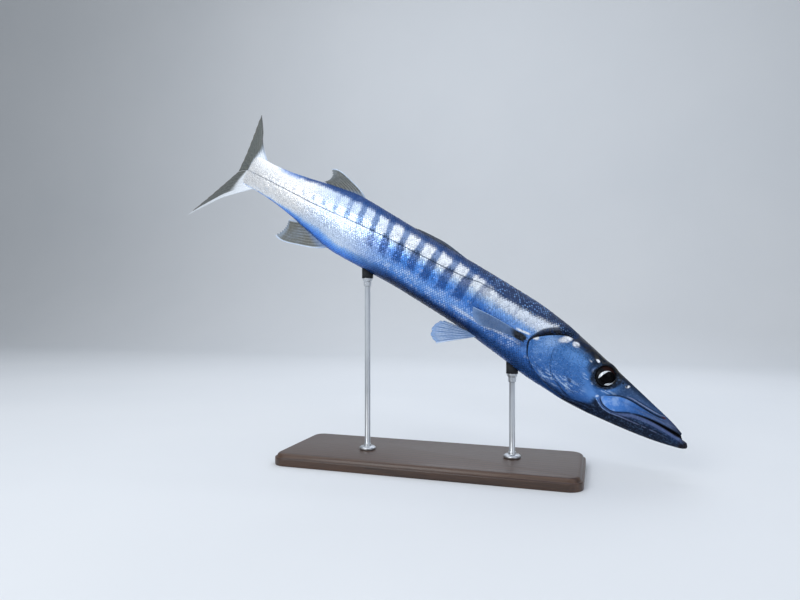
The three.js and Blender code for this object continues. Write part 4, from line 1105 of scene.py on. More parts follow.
def scaleShell():  # x towards the tail
    half = scales["edge"]
    halfWide = scales["shellWide"] / 2
    rim = np.array([(a, b) for a, b in half] + [(a, -b) for a, b in half[-2:0:-1]])
    n = len(rim)

    def lift(a, b):
        share = (a - half[0][0]) / scales["shellLong"]
        return mix(scales["root"], scales["tip"], share) + scales["dome"] * (1 - (b / halfWide) ** 2)

    points = [(a, b, lift(a, b) - scales["rimDrop"]) for a, b in rim]
    points += [(a, b, lift(a, b)) for a, b in rim * 0.76 + [0.15, 0]]
    points += [(0.3, 0.0, lift(0.3, 0.0) + 0.02)]
    faces = []
    for j in range(n):
        k = (j + 1) % n
        faces += [(j, k, n + k, n + j), (n + j, n + k, 2 * n)]
    faces.append(list(range(n))[::-1])
    points = np.array(points) * 0.001
    shell = meshObject("scale_shell", points, faces, attributes={"local": points / (halfWide * 0.001)})
    return faceOut(shell, 1e-9)


def ringPlaces(t, shares):  # points of a section at shares of the way round from the back, left side first
    y, z, run = halfProfile(t)
    total = run[-1]
    way = np.mod(shares, 1) * 2 * total
    left = way <= total
    at = np.where(left, way, 2 * total - way)
    return np.stack([np.full(len(shares), t), np.interp(at, run, y) * np.where(left, 1, -1),
                     np.interp(at, run, z)], 1), total


def cheekCover(t, z):  # small scales on the cheek and the gill cover
    gap, side, _ = fromLine(t, z, gillEdge["line"])
    onPlate = smooth(1.2, 2.6, np.where(side > 0, -gap, gap)) * (t < 0.31)
    fold, _, _ = fromLine(t, z, creases[3]["line"])
    level = smooth(-0.044, -0.04, z) * (1 - smooth(0.026, 0.03, z - smooth(0.2, 0.27, t) * 0.004))
    eyeGap = np.hypot(t - eye["station"], z - eye["level"]) / mm
    return onPlate * smooth(1.3, 2.0, fold) * level * smooth(27, 33, eyeGap) * smooth(0.176, 0.19, t)


cheekScales = dict(
    around=84, rings=[(0.17, 1.1), (0.22, 1.25), (0.31, 1.4)], start=0.176, end=0.306,
    long=2.5, wide=1.12, tilt=2.0, turn=4.0, sizeSpread=0.05, seed=12, curl=33.0, lift=0.42,
)


def ringSeeds(form):  # each scale's place and three near it, its share of the way round, and two spacings
    spacing = throughRows(form["rings"])
    n, t, rows = form["around"], form["start"], []
    while t < form["end"]:
        shares = (np.arange(n) + 0.5 * (len(rows) % 2)) / n
        here, total = ringPlaces(t, shares)
        ahead, _ = ringPlaces(t + 0.4 * mm, shares)
        beside, before = [ringPlaces(t, shares + shift)[0] for shift in (0.0008, -0.0008)]
        step, gap = float(spacing(t)), 2 * total / n / mm
        rows.append(np.hstack([here, ahead, beside, before, shares[:, None],
                               np.full((n, 1), step), np.full((n, 1), gap)]))
        t += step * mm
    return np.vstack(rows)


def unit(ways):
    return ways / np.linalg.norm(ways, axis=1, keepdims=True)


def scaleSeeds(form, coverOf, skinSunk):
    rng = np.random.default_rng(form["seed"])
    seeds = ringSeeds(form)
    cover = coverOf(seeds[:, 0], seeds[:, 2])
    seeds, cover = seeds[cover > 0.35], cover[cover > 0.35]
    here, ahead, beside, before = [seeds[:, k:k + 3] for k in (0, 3, 6, 9)]
    share, step, gap = seeds[:, 12:].T
    relief = np.zeros(len(here))
    front = here[:, 0] < 0.345
    relief[front] = headRelief(*here[front].T)[0]
    ways = outWays(here)
    lifted = here + ways * ((relief - skinSunk) * mm)[:, None]
    tail, side = unit(posed(ahead) - posed(here)), unit(posed(beside) - posed(before))
    normal = np.cross(side, tail)
    outward = posed(here + ways * 0.001) - posed(here)
    normal = unit(normal * np.sign((normal * outward).sum(1))[:, None])
    chord = np.linalg.norm(beside - before, axis=1) / mm
    across = (beside - before) / np.maximum(chord, 1e-6)[:, None] / mm
    across *= np.sign((np.cross(normal, tail) * side).sum(1))[:, None]
    bend = np.linalg.norm(outWays(before) - outWays(beside), axis=1) / np.maximum(chord, 1e-6)
    n = len(here)
    lean = np.radians(form["tilt"]) * rng.normal(size=(n, 2))
    swing = np.radians(form["turn"]) * rng.normal(size=n)
    normal = normal + tail * lean[:, :1] + side * lean[:, 1:]
    tail = tail + side * swing[:, None]
    size = 1 + form["sizeSpread"] * rng.normal(size=n)
    wide = gap * form["wide"] / scales["shellWide"] * size * mix(0.7, 1, cover)
    long = step * form["long"] / scales["shellLong"] * size * mix(0.8, 1, cover)
    high = np.clip(bend * form["curl"], 0.8, 2.2) * np.clip(wide, 0.5, 1) * form["lift"]
    root = np.stack([here[:, 0] * 0.9 + 0.02, share * 0.96 + 0.02, 0 * share], 1)
    return dict(place=posed(lifted), tail=tail, normal=normal, size=np.stack([long, wide, high], 1),
                fish=here, across=across, root=root, chance=rng.random(n))


def coatTree(shell, material):
    g = Growth("scale_coat", shell=shell, material=material)
    turn = g.node("FunctionNodeAxesToRotation", {"primary_axis": "Z", "secondary_axis": "X"},
                  {0: g.named("normal"), 1: g.named("tail")})
    shape = g.node("GeometryNodeObjectInfo", inputs={"Object": g.given("shell")}, output="Geometry")
    grown = g.node("GeometryNodeInstanceOnPoints", inputs={
        "Points": g.given("Geometry"), "Instance": shape, "Rotation": turn, "Scale": g.named("size")})
    g.finish(grown, g.given("material"))
    return g


def scaleMaterial(name, onCheeks=False):
    m = Finish(name, **{"Specular IOR Level": 0.08, "Coat Roughness": 0.14, "Coat IOR": 1.4})
    marked = markings(m)
    chance = m.attribute("chance")
    a, b, _ = m.parts(m.attribute("local", "Vector"))
    spot, t, z, dusk, level = marked["spot"], marked["t"], marked["z"], marked["dusk"], marked["level"]
    away = (a * a * 1.15 + b * b * 0.95) ** 0.5
    edgeShade = m.step(0.74, 1.0, away)
    if onCheeks:
        soft = z + (m.noise(spot, 120, 3) - 0.5) * 0.0015
        colour, paintedHighlight = cheekColours(m, marked, soft)
        colour = m.paint(colour, (m.step(0.5, 0.0, chance) * 0.16 * (1 - paintedHighlight), "#1f4480"),
                         (m.step(0.55, 1.0, chance) * 0.12 * (1 - paintedHighlight), "#a6c8f6"),
                         (edgeShade * 0.12 * (1 - paintedHighlight), "#1f4072"))
    else:
        fleck = m.step(0.62, 0.2, ((a - 0.25) ** 2 + b * b * 1.3) ** 0.5)
        nape = m.step(0.5, 0.4, t) * m.step(0.24, 0.3, t)
        # painted glints on the back's scales, and painted sparkle on the centres of the lower flank's scales
        glint = fleck * m.step(0.35, 0.7, chance) * m.step(0.3, 0.6, m.noise(spot, 40, 3)) * dusk
        lower = m.step(-0.01, -0.018, level) * m.step(-0.042, -0.034, level) * m.step(0.3, 0.34, t)
        lower = lower * m.step(0.74, 0.6, t)
        paintedGlint = fleck * lower * m.step(0.4, 0.62, m.noise(spot, 62, 3)) * m.step(0.1, 0.5, chance)
        colour = m.paint(
            marked["colour"], (glint * (0.14 + nape * 0.66), "#7ba6e2"),
            (m.step(0.45, 0.0, chance) * (0.2 - m.step(0.62, 0.72, t) * 0.12), "#2a5596"),
            (m.step(0.75, 0.25, fleck) * lower * 0.35, "#2b5ca6"),
            (paintedGlint * 0.6, "#cfe1fb"),
            (edgeShade * (0.16 + dusk * 0.25 - m.step(0.62, 0.72, t) * 0.08), "#1c3f78"),
            (marked["thread"], "#223a5a"))
    distance = (a * a + b * b) ** 0.5
    growth = distance.maths("SINE", distance * 46.0) * 0.5 + 0.5
    rough = 0.24 + chance * 0.16 + dusk * 0.2 + edgeShade * 0.1
    metal = 0.6 - dusk * 0.52 - edgeShade * 0.08
    normal = m.bump(growth, 0.12, 0.00012)
    normal = m.bump(m.noise(spot, 320, 3, 0.6), 0.12, 0.0003, normal)
    return m.set(Base_Color=colour, Roughness=rough, Metallic=metal, Coat_Weight=0.36 - dusk * 0.3,
                 Normal=normal)


def makeScales():
    shell = scaleShell()
    body = scaleSeeds(scales, coatCover, 0.0)
    order = np.argsort(body["fish"][:, 0], kind="stable")
    groups = [(f"scales_body_{k + 1}", {key: value[part] for key, value in body.items()})
              for k, part in enumerate(np.array_split(order, scales["pieces"]))]
    groups.append(("scales_cheeks", scaleSeeds(cheekScales, cheekCover, -0.1)))
    finishes = [scaleMaterial("body_scales"), scaleMaterial("cheek_scales", onCheeks=True)]
    trees = [coatTree(shell, finish) for finish in finishes]
    for name, held in groups:
        source = meshObject("scale_seeds", held.pop("place"), [], attributes=held)
        piece = trees[name == "scales_cheeks"].grow(source, name)
        bpy.data.objects.remove(source)
        mesh = piece.data
        count = len(mesh.vertices)
        read = {}
        for key in ("local", "root", "size", "fish", "across"):
            values = np.empty(count * 3, np.float32)
            mesh.attributes[key].data.foreach_get("vector", values)
            read[key] = values.reshape(count, 3)
        corner = np.empty(len(mesh.loops), np.int32)
        mesh.loops.foreach_get("vertex_index", corner)
        off = read["local"] * read["size"] * scales["shellWide"] / 2 * mm
        here = read["fish"] + off[:, :1] * [1.0, 0, 0] + off[:, 1:2] * read["across"]
        mosaic = read["fish"] + off[:, :1] * [0.4, 0, 0]
        for key, value in (("fish", here), ("mosaic", mosaic)):
            layer = mesh.attributes.get(key) or mesh.attributes.new(key, "FLOAT_VECTOR", "POINT")
            layer.data.foreach_set("vector", value.astype(np.float32).ravel())
        uv = read["root"][:, :2] + read["local"][:, :2] * scales["patch"] / 2
        layer = mesh.uv_layers.new(name="OFBake")
        layer.uv.foreach_set("vector", uv[corner].astype(np.float32).ravel())
        for key in ("normal", "tail", "size", "root", "across"):
            mesh.attributes.remove(mesh.attributes[key])
        markGill(piece)
        mesh.shade_smooth()
        ownPiece(piece, "skin_flank" if "body" in name else "skin_head")
    bpy.data.objects.remove(shell)


makeScales()

# Eyes: a silver iris round a bulging lens, under a wet coat

eyeball = dict(
    sides=112, apex=3.0, rim=-3.6, back=-9.0, edge=15.2,
    lens=0.55, lensRadius=8.3, cup=0.7,
    rings=[(0.0, 7.7, 14), (7.9, 8.7, 7), (9.0, 13.2, 12), (13.4, 15.2, 7)],   # from, to and how many
    middle=(2.4, -2.2), half=(12.5, 10.4),   # the iris, turned so that it lies level when the fish dives
    turn=(0.515, 0.857),                     # that turn's sine and cosine
    paintedGlint=[(0.0, 0.06), (0.02, 0.0), (0.2, 0.0), (0.222, 0.2), (0.264, 0.28), (0.325, 0.24), (0.365, 0.14),
            (0.42, 0.08), (0.455, 0.05), (0.49, 0.0), (0.66, 0.0), (0.7, 0.03), (0.745, 0.08), (0.785, 0.2),
            (0.847, 0.27), (0.917, 0.26), (0.957, 0.22), (0.984, 0.15), (1.0, 0.06)],
    # how wide the silver iris's painted reflection is, by share of the way round
)


def eyeMaterial():
    m = Finish("fish_eye", **{"Coat Roughness": 0.02, "Coat IOR": 1.38, "Specular IOR Level": 0.03})
    a, b, _ = m.parts(m.attribute("eyePlace", "Vector"))
    away = (a * a + b * b) ** 0.5
    spokes = {0: b.maths("ARCTAN2", b, a) * 9.0, 1: away * 0.22, 2: 0.0}
    fibres = m.noise(m.node("ShaderNodeCombineXYZ", inputs=spokes), 2.6, 5, 0.62)
    fine = m.noise(m.node("ShaderNodeCombineXYZ", inputs={0: a, 1: b, 2: 0.0}), 1.1, 4, 0.6)
    sine, cosine = eyeball["turn"]
    across = (b * sine - a * cosine - eyeball["middle"][0]) / eyeball["half"][0]
    upward = (a * sine + b * cosine - eyeball["middle"][1]) / eyeball["half"][1]
    out = (across * across + upward * upward) ** 0.5 + (fine - 0.5) * 0.05
    # the silver iris is painted only in two crescents, as a painted reflection on it
    paintedGlint = m.profile(upward.maths("ARCTAN2", upward, across) / (2 * math.pi) + 0.5, eyeball["paintedGlint"])
    lit = m.step(-0.035, 0.035, out - 1 + paintedGlint) * m.step(1.04, 0.98, out) * m.step(0.0, 0.05, paintedGlint)
    silver = m.colours(fibres, [(0.3, "#a4b7c9"), (0.45, "#dbe5ee"), (0.65, "#ffffff")])
    edge = m.step(0.98, 1.06, out)
    warm = m.step(0.2, 0.75, across * 0.72 + upward * 0.68)
    colour = m.paint("#020203", (m.step(0.62, 0.8, out) * 0.6, "#0a0b0e"),
                     (edge, m.blend(m.step(0.35, 0.7, fine), "#0a0c0f", "#1b1e22")),
                     (edge * warm * 0.7, "#2c1512"), (lit * 0.97, silver))
    return m.set(Base_Color=colour, Metallic=lit * 0.3, Roughness=0.16 + fibres * 0.1 + edge * 0.2,
                 Coat_Weight=0.07 + lit * 0.35, Normal=m.bump(fibres * lit, 0.3, 0.0004))


def eyeProfile():  # radius and height of each ring, from the pupil's middle round to the back
    rise = eyeball["apex"] - eyeball["rim"]
    ball = (eyeball["edge"] ** 2 + rise ** 2) / (2 * rise)
    radii = np.concatenate([np.linspace(*ring) for ring in eyeball["rings"]])[1:]
    height = eyeball["apex"] - ball + np.sqrt(ball ** 2 - radii ** 2)
    height += np.sqrt(np.maximum(0, 1 - (radii / eyeball["lensRadius"]) ** 2)) * eyeball["lens"]
    height -= eyeball["cup"] * smooth(8.0, 9.2, radii) * (1 - smooth(12.4, 14.0, radii))
    return [*zip(radii, height), (eyeball["edge"], eyeball["rim"] - 2.5), (12.5, eyeball["back"] + 1.5),
            (8.0, eyeball["back"])]


def makeEyes():
    dressed = eyeMaterial()
    flat, faces = lathed(eyeProfile(), eyeball["sides"], eyeball["apex"] + eyeball["lens"])
    for name, side in (("left", 1), ("right", -1)):
        centre, out, along, rise = eyeFrame(side)
        inFish = centre + (flat[:, :1] * along + flat[:, 1:2] * rise + flat[:, 2:] * out) * mm
        piece = meshObject(f"eye_{name}_ball", posed(inFish), faces, dressed, {"eyePlace": flat})
        ownPiece(faceOut(piece), "eye", f"eye_{name}")


makeEyes()

# Fins: closed sheets whose rays branch towards the rim

ray = dict(root=1.9, tip=1.0, web=0.55, sunk=0.007, scallop=0.03)
medianFins = dict(
    dorsal_fin_first=dict(up=1, rays=5, base=[0.449, 0.535], bow=0.0025, bowEnd=0.3, spiny=True,
                          rim=[(0.545, 0.0652), (0.571, 0.0638), (0.589, 0.0622), (0.602, 0.06)],
                          tones=("#283345", "#5c6d84", "#1a212c", "#151c27", "#7f95ad")),
    dorsal_fin_second=dict(up=1, rays=10, base=[0.7113, 0.792], bow=0.0115, bowEnd=0.1, spiny=False,
                           rim=[(0.8171, 0.0811), (0.8085, 0.0705), (0.809, 0.0612), (0.8175, 0.0515)],
                           tones=("#5b605c", "#343a3c", "#6d777e", "#8296b0", "#c9dcf4")),
    anal_fin=dict(up=-1, rays=10, base=[0.734, 0.82], bow=0.0122, bowEnd=0.1, spiny=False,
                  rim=[(0.8613, -0.0938), (0.8505, -0.0778), (0.847, -0.0642), (0.8495, -0.0505)],
                  tones=("#686b66", "#43463f", "#8697ab", "#7d97bf", "#d3e4fa")),
)
tailFin = dict(
    rays=9, rootThick=2.4, bow=0.012,
    lobes=dict(
        tail_fin_upper=dict(up=1, base=[(0.968, 0.0325), (0.985, 0.0285), (1.0, 0.015), (1.0035, 0.0002)],
                            rim=[(1.1815, 0.1505), (1.115, 0.0905), (1.073, 0.0375), (1.047, -0.0125)],
                            tones=("#525a56", "#3a4142", "#555247", "#c9d9ee", "#23292b"),
                            silver=(0.17, 0.0)),
        tail_fin_lower=dict(up=-1,
                            base=[(0.968, -0.0325), (0.985, -0.0285), (1.0, -0.015), (1.0035, -0.0008)],
                            rim=[(1.196, -0.15), (1.127, -0.0965), (1.083, -0.0545), (1.047, -0.0137)],
                            tones=("#555b59", "#3c4243", "#5a584f", "#d7e6f6", "#eef5fc"),
                            silver=(0.36, 0.34)),
    ),
)
pectoralFin = dict(
    rays=11, station=0.316, level=-0.0105, baseHeight=9, baseLean=20, sunk=5, flare=7, bow=3, arch=2.5,
    lengths=[86, 84, 79, 68], spread=[2, 5.5, 8.5, 11],   # millimetres and degrees, first ray to last
    mesh=dict(around=12, rows=64, scallop=0.008),
    tones=("#41608e", "#6684ad", "#6f93c6", "#060507", "#9db9e0"), clear=0.25, fade=(0.33, 0.2),
)
pelvicFin = dict(
    rays=6, station=0.392, level=-0.0525, side=0.0125, baseLength=9, sunk=7, flare=30, bow=3, arch=0,
    lengths=[67, 72, 67, 54], spread=[47, 37, 26, 14],
    mesh=dict(around=18, rows=48, scallop=0.014),
    tones=("#5b83ba", "#c4d7ee", "#7aa2d6", "#9fbfe6", "#dbe8f8"), clear=0.45, fade=(0.24, 0.03),
)


def lineCurve(points):  # centripetal curve through a few points, by its share along
    p = np.array(points, float)
    p = np.vstack([2 * p[0] - p[1], p, 2 * p[-1] - p[-2]])

    def at(v):
        v = np.asarray(v, float)
        place = v * (len(p) - 3)
        i = np.clip(np.floor(place).astype(int), 0, len(p) - 4)
        w = (place - i)[:, None]
        p0, p1, p2, p3 = [p[i + k] for k in range(4)]
        d0, d1, d2 = [np.linalg.norm(b - a, axis=1, keepdims=True) ** 0.5
                      for a, b in ((p0, p1), (p1, p2), (p2, p3))]
        t1 = ((p1 - p0) / d0 - (p2 - p0) / (d0 + d1) + (p2 - p1) / d1) * d1
        t2 = ((p2 - p1) / d1 - (p3 - p1) / (d1 + d2) + (p3 - p2) / d2) * d1
        return p1 + t1 * w + (3 * p2 - 3 * p1 - 2 * t1 - t2) * w ** 2 + (2 * p1 - 2 * p2 + t1 + t2) * w ** 3

    return at


def rayPattern(u, v, rays, spiny):  # how much a point is on a ray, 0 to 1, and how far out the sheet reaches
    place = v * (rays - 1)
    off = place - np.round(place)
    first = 0 if spiny else smooth(0.3, 0.62, u)
    second = 0 if spiny else smooth(0.62, 0.92, u)
    inner = np.abs(np.abs(off) - 0.2 * first)
    branch = np.abs(inner - 0.1 * second)
    width = mix(0.13, 0.065 if not spiny else 0.09, u)
    on = np.exp(-(branch / width) ** 2)
    main = np.cos(math.pi * np.clip(np.abs(off) / 0.5, 0, 1)) * 0.5 + 0.5
    return on, main


def makeFin(name, slot, rays, pointAt, normalAt, material, replaced, spiny=False, rootThick=0.0,
            around=16, rows=52, scallop=ray["scallop"]):
    across = (rays - 1) * around + 1
    u, v = np.meshgrid(np.linspace(0, 1, rows + 1), np.linspace(0, 1, across))
    u, v = u.ravel(), v.ravel()
    on, main = rayPattern(u, v, rays, spiny)
    reach = u * (1 - scallop * u * (1 - main))
    middle = pointAt(reach, v)
    joints = 1 if spiny else 1 - 0.3 * np.exp(-(np.mod(u * 15, 1) - 0.5) ** 2 / 0.02) * smooth(0.3, 0.4, u)
    thick = mix(ray["web"] * 1.25, ray["web"], u)
    rayThick = mix(ray["root"], ray["tip"], u)
    thick = thick + (rayThick * joints - thick) * on + rootThick * (1 - smooth(0.03, 0.35, u))
    edge = np.minimum(np.minimum(v, 1 - v) * (rays - 1) / 0.16, (1 - u) / 0.02)
    thick = thick * mix(0.35, 1.0, smooth(0, 1, edge))
    normal = normalAt(u, v)
    half = normal * (thick / 2 * mm)[:, None]
    points = np.vstack([middle + half, middle - half])
    count = across * (rows + 1)
    faces = []
    for j in range(across - 1):
        for i in range(rows):
            a, b = j * (rows + 1) + i, (j + 1) * (rows + 1) + i
            faces.append((a, a + 1, b + 1, b))
            faces.append((count + a, count + b, count + b + 1, count + a + 1))
    rim = [j * (rows + 1) for j in range(across)]
    rim += [(across - 1) * (rows + 1) + i for i in range(1, rows + 1)]
    rim += [j * (rows + 1) + rows for j in range(across - 2, -1, -1)]
    rim += list(range(rows - 1, 0, -1))
    faces += [(a, b, count + b, count + a) for a, b in zip(rim, rim[1:] + rim[:1])]
    place = np.stack([u, v, on], 1)
    piece = meshObject(name, posed(points), faces, material,
                       {"finPlace": np.vstack([place, place]), "fish": np.vstack([middle, middle])})
    ownPiece(faceOut(piece), slot, replaced)


def finMaterial(name, tones, rays, clear=0.0, silver=None, low=False, fade=(0.24, 0.03)):
    web, rayTone, rimTone, baseTone, leadTone = tones   # fade is where the root's tone ends
    m = Finish(name, **{"Specular IOR Level": 0.25, "Coat Roughness": 0.2})
    u, v, on = m.parts(m.attribute("finPlace", "Vector"))
    spot = m.attribute("fish", "Vector")
    cloud = m.noise(spot, 34, 4, 0.6)
    fine = m.noise(spot, 210, 4, 0.62)
    alongRays = m.node("ShaderNodeCombineXYZ", inputs={0: u * 2.2, 1: v * rays * 2.6, 2: 0.0})
    streak = m.noise(alongRays, 3.0, 4, 0.6)
    joint = u.maths("SINE", u * 90) * 0.5 + 0.5
    lead = m.step(0.075, 0.02, v + (fine - 0.5) * 0.03)
    colour = m.paint(
        m.blend(m.step(0.35, 0.8, cloud) * 0.6, web, rimTone), (m.step(0.42, 0.7, streak) * 0.5, rayTone),
        (m.step(0.2, 0.85, on) * (1 - u * 0.35), rayTone), (joint * on * m.step(0.3, 0.42, u) * 0.35, web),
        (m.step(0.84, 0.98, u + (fine - 0.5) * 0.08) * 0.7, rimTone), (lead * 0.85, leadTone))
    if low:
        colour = m.blend(m.step(0.9, 0.98, v) * 0.7, colour, leadTone)
    root = m.step(*fade, u + (cloud - 0.5) * 0.1)
    colour = m.blend(root * 0.95, colour, baseTone)
    shine = (0.04 + on * 0.1) * (1 - root)
    if silver:  # how far up the lobe it reaches, and how wide it runs along the leading edge
        ragged = u + (streak - 0.5) * 0.22 + (cloud - 0.5) * 0.1
        spread = m.step(silver[0], silver[0] * 0.45, ragged)
        if silver[1]:
            band = m.step(1.0, 0.6, (v + (fine - 0.5) * 0.04) / (silver[1] * (1.15 - u)))
            spread = spread.maths("MAXIMUM", spread, band)
        else:
            spread = spread * m.step(0.02, 0.12, v)
        colour = m.blend(spread * 0.94, colour, "#eef5fd")
        shine = shine + spread * 0.3
    colour = m.blend((fine - 0.4) * 0.22, colour, "#f2f6fa")
    rough = 0.42 + (cloud - 0.5) * 0.2 - on * 0.06
    normal = m.bump(streak, 0.25, 0.0005, m.bump(fine, 0.22, 0.0004))
    sockets = dict(Base_Color=colour, Roughness=rough, Metallic=shine,
                   Coat_Weight=(0.15 + on * 0.2) * (1 - root), Normal=normal)
    if clear:
        sockets["Alpha"] = 1 - clear * (1 - on) * m.step(0.12, 0.4, u)
    return m.set(**sockets)


def flatWay(u, v):  # the median fins' sheets face sideways all over
    return np.tile([0.0, 1, 0], (len(u), 1))


def makeMedianFins():
    for name, form in medianFins.items():
        material = finMaterial(name, form["tones"], form["rays"], low=name == "anal_fin")
        rim = lineCurve(form["rim"])

        def pointAt(u, v, form=form, rim=rim):
            t = mix(form["base"][0], form["base"][1], v)
            skinLevel = sectionCurves[0 if form["up"] > 0 else 1](t) - form["up"] * ray["sunk"]
            edge = rim(v)
            bow = form["up"] * form["bow"] * mix(1, form["bowEnd"], v) * (1 - (2 * u - 1) ** 4)
            return np.stack([mix(t, edge[:, 0], u), 0 * u, mix(skinLevel, edge[:, 1], u) + bow], 1)

        makeFin(f"{name}_sheet", "fin_dark", form["rays"], pointAt, flatWay, material, name, form["spiny"])


def makeTail():
    for name, form in tailFin["lobes"].items():
        material = finMaterial(name, form["tones"], tailFin["rays"], silver=form["silver"])
        root, rim = lineCurve(form["base"]), lineCurve(form["rim"])

        def pointAt(u, v, form=form, root=root, rim=rim):
            flat = mix(root(v), rim(v), u[:, None])
            bow = form["up"] * tailFin["bow"] * (1 - v) * np.sin(math.pi * u)
            return np.stack([flat[:, 0], 0 * u, flat[:, 1] + bow], 1)

        makeFin(f"{name}_sheet", "fin_dark", tailFin["rays"], pointAt, flatWay, material, name,
                rootThick=tailFin["rootThick"], rows=84)


def pectoralFan(form):  # the root, the rays' directions and the sheet's normal, x forwards, in millimetres
    flare, lean = math.radians(form["flare"]), math.radians(form["baseLean"])
    halfWide = float(halfWidthAt(np.array(form["station"]), np.array(form["level"]))) / mm
    centre = np.array([-form["station"] / mm, halfWide - 0.5, form["level"] / mm])

    def rootAt(v):
        run = (0.5 - v) * form["baseHeight"]
        return centre + np.stack([-math.sin(lean) * run, 0 * run, math.cos(lean) * run], 1)

    def directionAt(down):
        return np.stack([-np.cos(down) * math.cos(flare), 0 * down + math.sin(flare),
                         -np.sin(down) * math.cos(flare)], 1)

    return rootAt, directionAt, np.array([math.sin(flare), math.cos(flare), 0])


def pelvicFan(form):
    flare = math.radians(form["flare"])
    centre = np.array([form[key] / mm for key in ("station", "side", "level")]) * [-1, 1, 1]
    outward = np.array([0, math.sin(flare), -math.cos(flare)])

    def rootAt(v):
        return centre + np.stack([(0.5 - v) * form["baseLength"], 0 * v, 0 * v], 1)

    def directionAt(down):
        way = np.stack([-np.cos(down), 0 * down, 0 * down], 1) + outward * np.sin(down)[:, None]
        return unit(way)

    return rootAt, directionAt, np.array([0, math.cos(flare), math.sin(flare)])


def makePairedFin(name, form, side, fan, material):
    rootAt, directionAt, normal = fan(form)
    flip = np.array([1, side, 1])
    knots = np.linspace(0, 1, len(form["lengths"]))

    def pointAt(u, v):
        direction = directionAt(np.radians(np.interp(v, knots, form["spread"])))
        reach = (np.interp(v, knots, form["lengths"]) + form["sunk"]) * u - form["sunk"]
        upward = np.cross(np.tile(normal, (len(u), 1)), direction)
        place = rootAt(v) + direction * reach[:, None]
        place = place + upward * (form["arch"] * np.sin(math.pi * u))[:, None]
        place = place + normal * (form["bow"] * np.sin(math.pi * u / 2) ** 2)[:, None]
        return place * mm * [-1, 1, 1] * flip

    def normalAt(u, v):
        return np.tile(normal * [-1, 1, 1] * flip, (len(u), 1))

    makeFin(f"{name}_sheet", "fin_pale", form["rays"], pointAt, normalAt, material, name, **form["mesh"])


def makePairedFins():
    pairs = [("pectoral_fin", pectoralFin, pectoralFan), ("pelvic_fin", pelvicFin, pelvicFan)]
    materials = [finMaterial(f"{name}s", form["tones"], form["rays"], clear=form["clear"], fade=form["fade"])
                 for name, form, _ in pairs]
    for hand, side in (("left", 1), ("right", -1)):
        for (name, form, fan), material in zip(pairs, materials):
            makePairedFin(f"{name}_{hand}", form, side, fan, material)


makeMedianFins()
makeTail()
makePairedFins()

# Stand: an oiled wooden base and two steel rods with shaped pads

stand = dict(
    length=0.47, width=0.17, thick=0.018, corner=0.022, cornerPoints=14,
    profile=[(0.0009, 0.0), (0.0, 0.0012), (0.0, 0.0102), (0.0006, 0.0115), (0.0026, 0.0124),
             (0.0034, 0.0136), (0.0042, 0.0156), (0.0058, 0.0172), (0.008, 0.018)],   # inset and height
    rods=[("stand_rod_front", 0.305), ("stand_rod_rear", 0.64)],   # and the station that each holds
    rod=0.0045, flange=0.013, flangeThick=0.005, pad=0.009, padDrop=0.012, sides=56, padRings=9,
    screws=3, screwRing=0.0092, screw=0.0017,
)


def woodMaterial():
    m = Finish("oiled_walnut", **{"Specular IOR Level": 0.45, "Coat Roughness": 0.22})
    place = m.place()
    wave = m.noise(m.stretched(place, (3.0, 11.0, 11.0)), 1.0, 3, 0.55)
    bands = m.node(
        "ShaderNodeTexWave", {"wave_type": "BANDS", "bands_direction": "Y", "wave_profile": "SAW"},
        {"Vector": m.stretched(place, (1.6, 21.0, 21.0)), "Scale": 1.4, "Distortion": 5.5, "Detail": 3.0,
         "Detail Scale": 0.9, "Detail Roughness": 0.6})
    grain = m.noise(m.stretched(place, (26.0, 620.0, 620.0)), 1.0, 4, 0.6)
    pores = m.step(0.62, 0.74, m.noise(m.stretched(place, (46.0, 1500.0, 1500.0)), 1.0, 2, 0.5))
    colour = m.colours(bands * 0.65 + wave * 0.35, [(0.15, "#2b1d16"), (0.4, "#3c281d"), (0.62, "#4a3324"),
                                                   (0.85, "#35241b")])
    colour = m.paint(colour, (m.step(0.35, 0.75, grain) * 0.4, "#5a3f2c"), (pores * 0.55, "#160e0b"))
    return m.set(Base_Color=colour, Roughness=0.42 + grain * 0.16 + pores * 0.12,
                 Coat_Weight=0.3 - pores * 0.2, Normal=m.bump(grain - pores * 0.8, 0.2, 0.0003))


def makeBase():
    rings, faces = [], []
    cx, cy = stand["length"] / 2 - stand["corner"], stand["width"] / 2 - stand["corner"]
    for inset, z in catmull(stand["profile"], 0.0006):
        r = stand["corner"] - inset
        loop = []
        for k, (sx, sy) in enumerate(((1, 1), (-1, 1), (-1, -1), (1, -1))):
            for a in np.linspace(0, math.pi / 2, stand["cornerPoints"]) + k * math.pi / 2:
                loop.append((sx * cx + r * math.cos(a), sy * cy + r * math.sin(a), z))
        rings.append(loop)
    n = len(rings[0])
    for s in range(0, (len(rings) - 1) * n, n):
        faces += [(s + j, s + (j + 1) % n, s + n + (j + 1) % n, s + n + j) for j in range(n)]
    faces.append(list(range(n))[::-1])
    faces.append([(len(rings) - 1) * n + j for j in range(n)])
    base = meshObject("stand_base_board", [p for loop in rings for p in loop], faces, woodMaterial())
    ownPiece(faceOut(base), "stand_wood", "stand_base")


def joined(parts):
    points, faces, shift = [], [], 0
    for p, f in parts:
        points.append(np.asarray(p, float))
        faces += [tuple(int(i) + shift for i in face) for face in f]
        shift += len(p)
    return np.vstack(points), faces


def easedProfile(spots, fillet=0.0005):  # a profile with its corners eased by short chamfers
    eased = []
    for i, (r, z) in enumerate(spots):
        if i in (0, len(spots) - 1):
            eased.append((r, z))
            continue
        here = np.array([r, z])
        for other in (np.array(spots[i - 1]), np.array(spots[i + 1])):
            way = other - here
            size = np.linalg.norm(way)
            eased.append(tuple(here + way / size * min(fillet, size * 0.4)))
    return eased


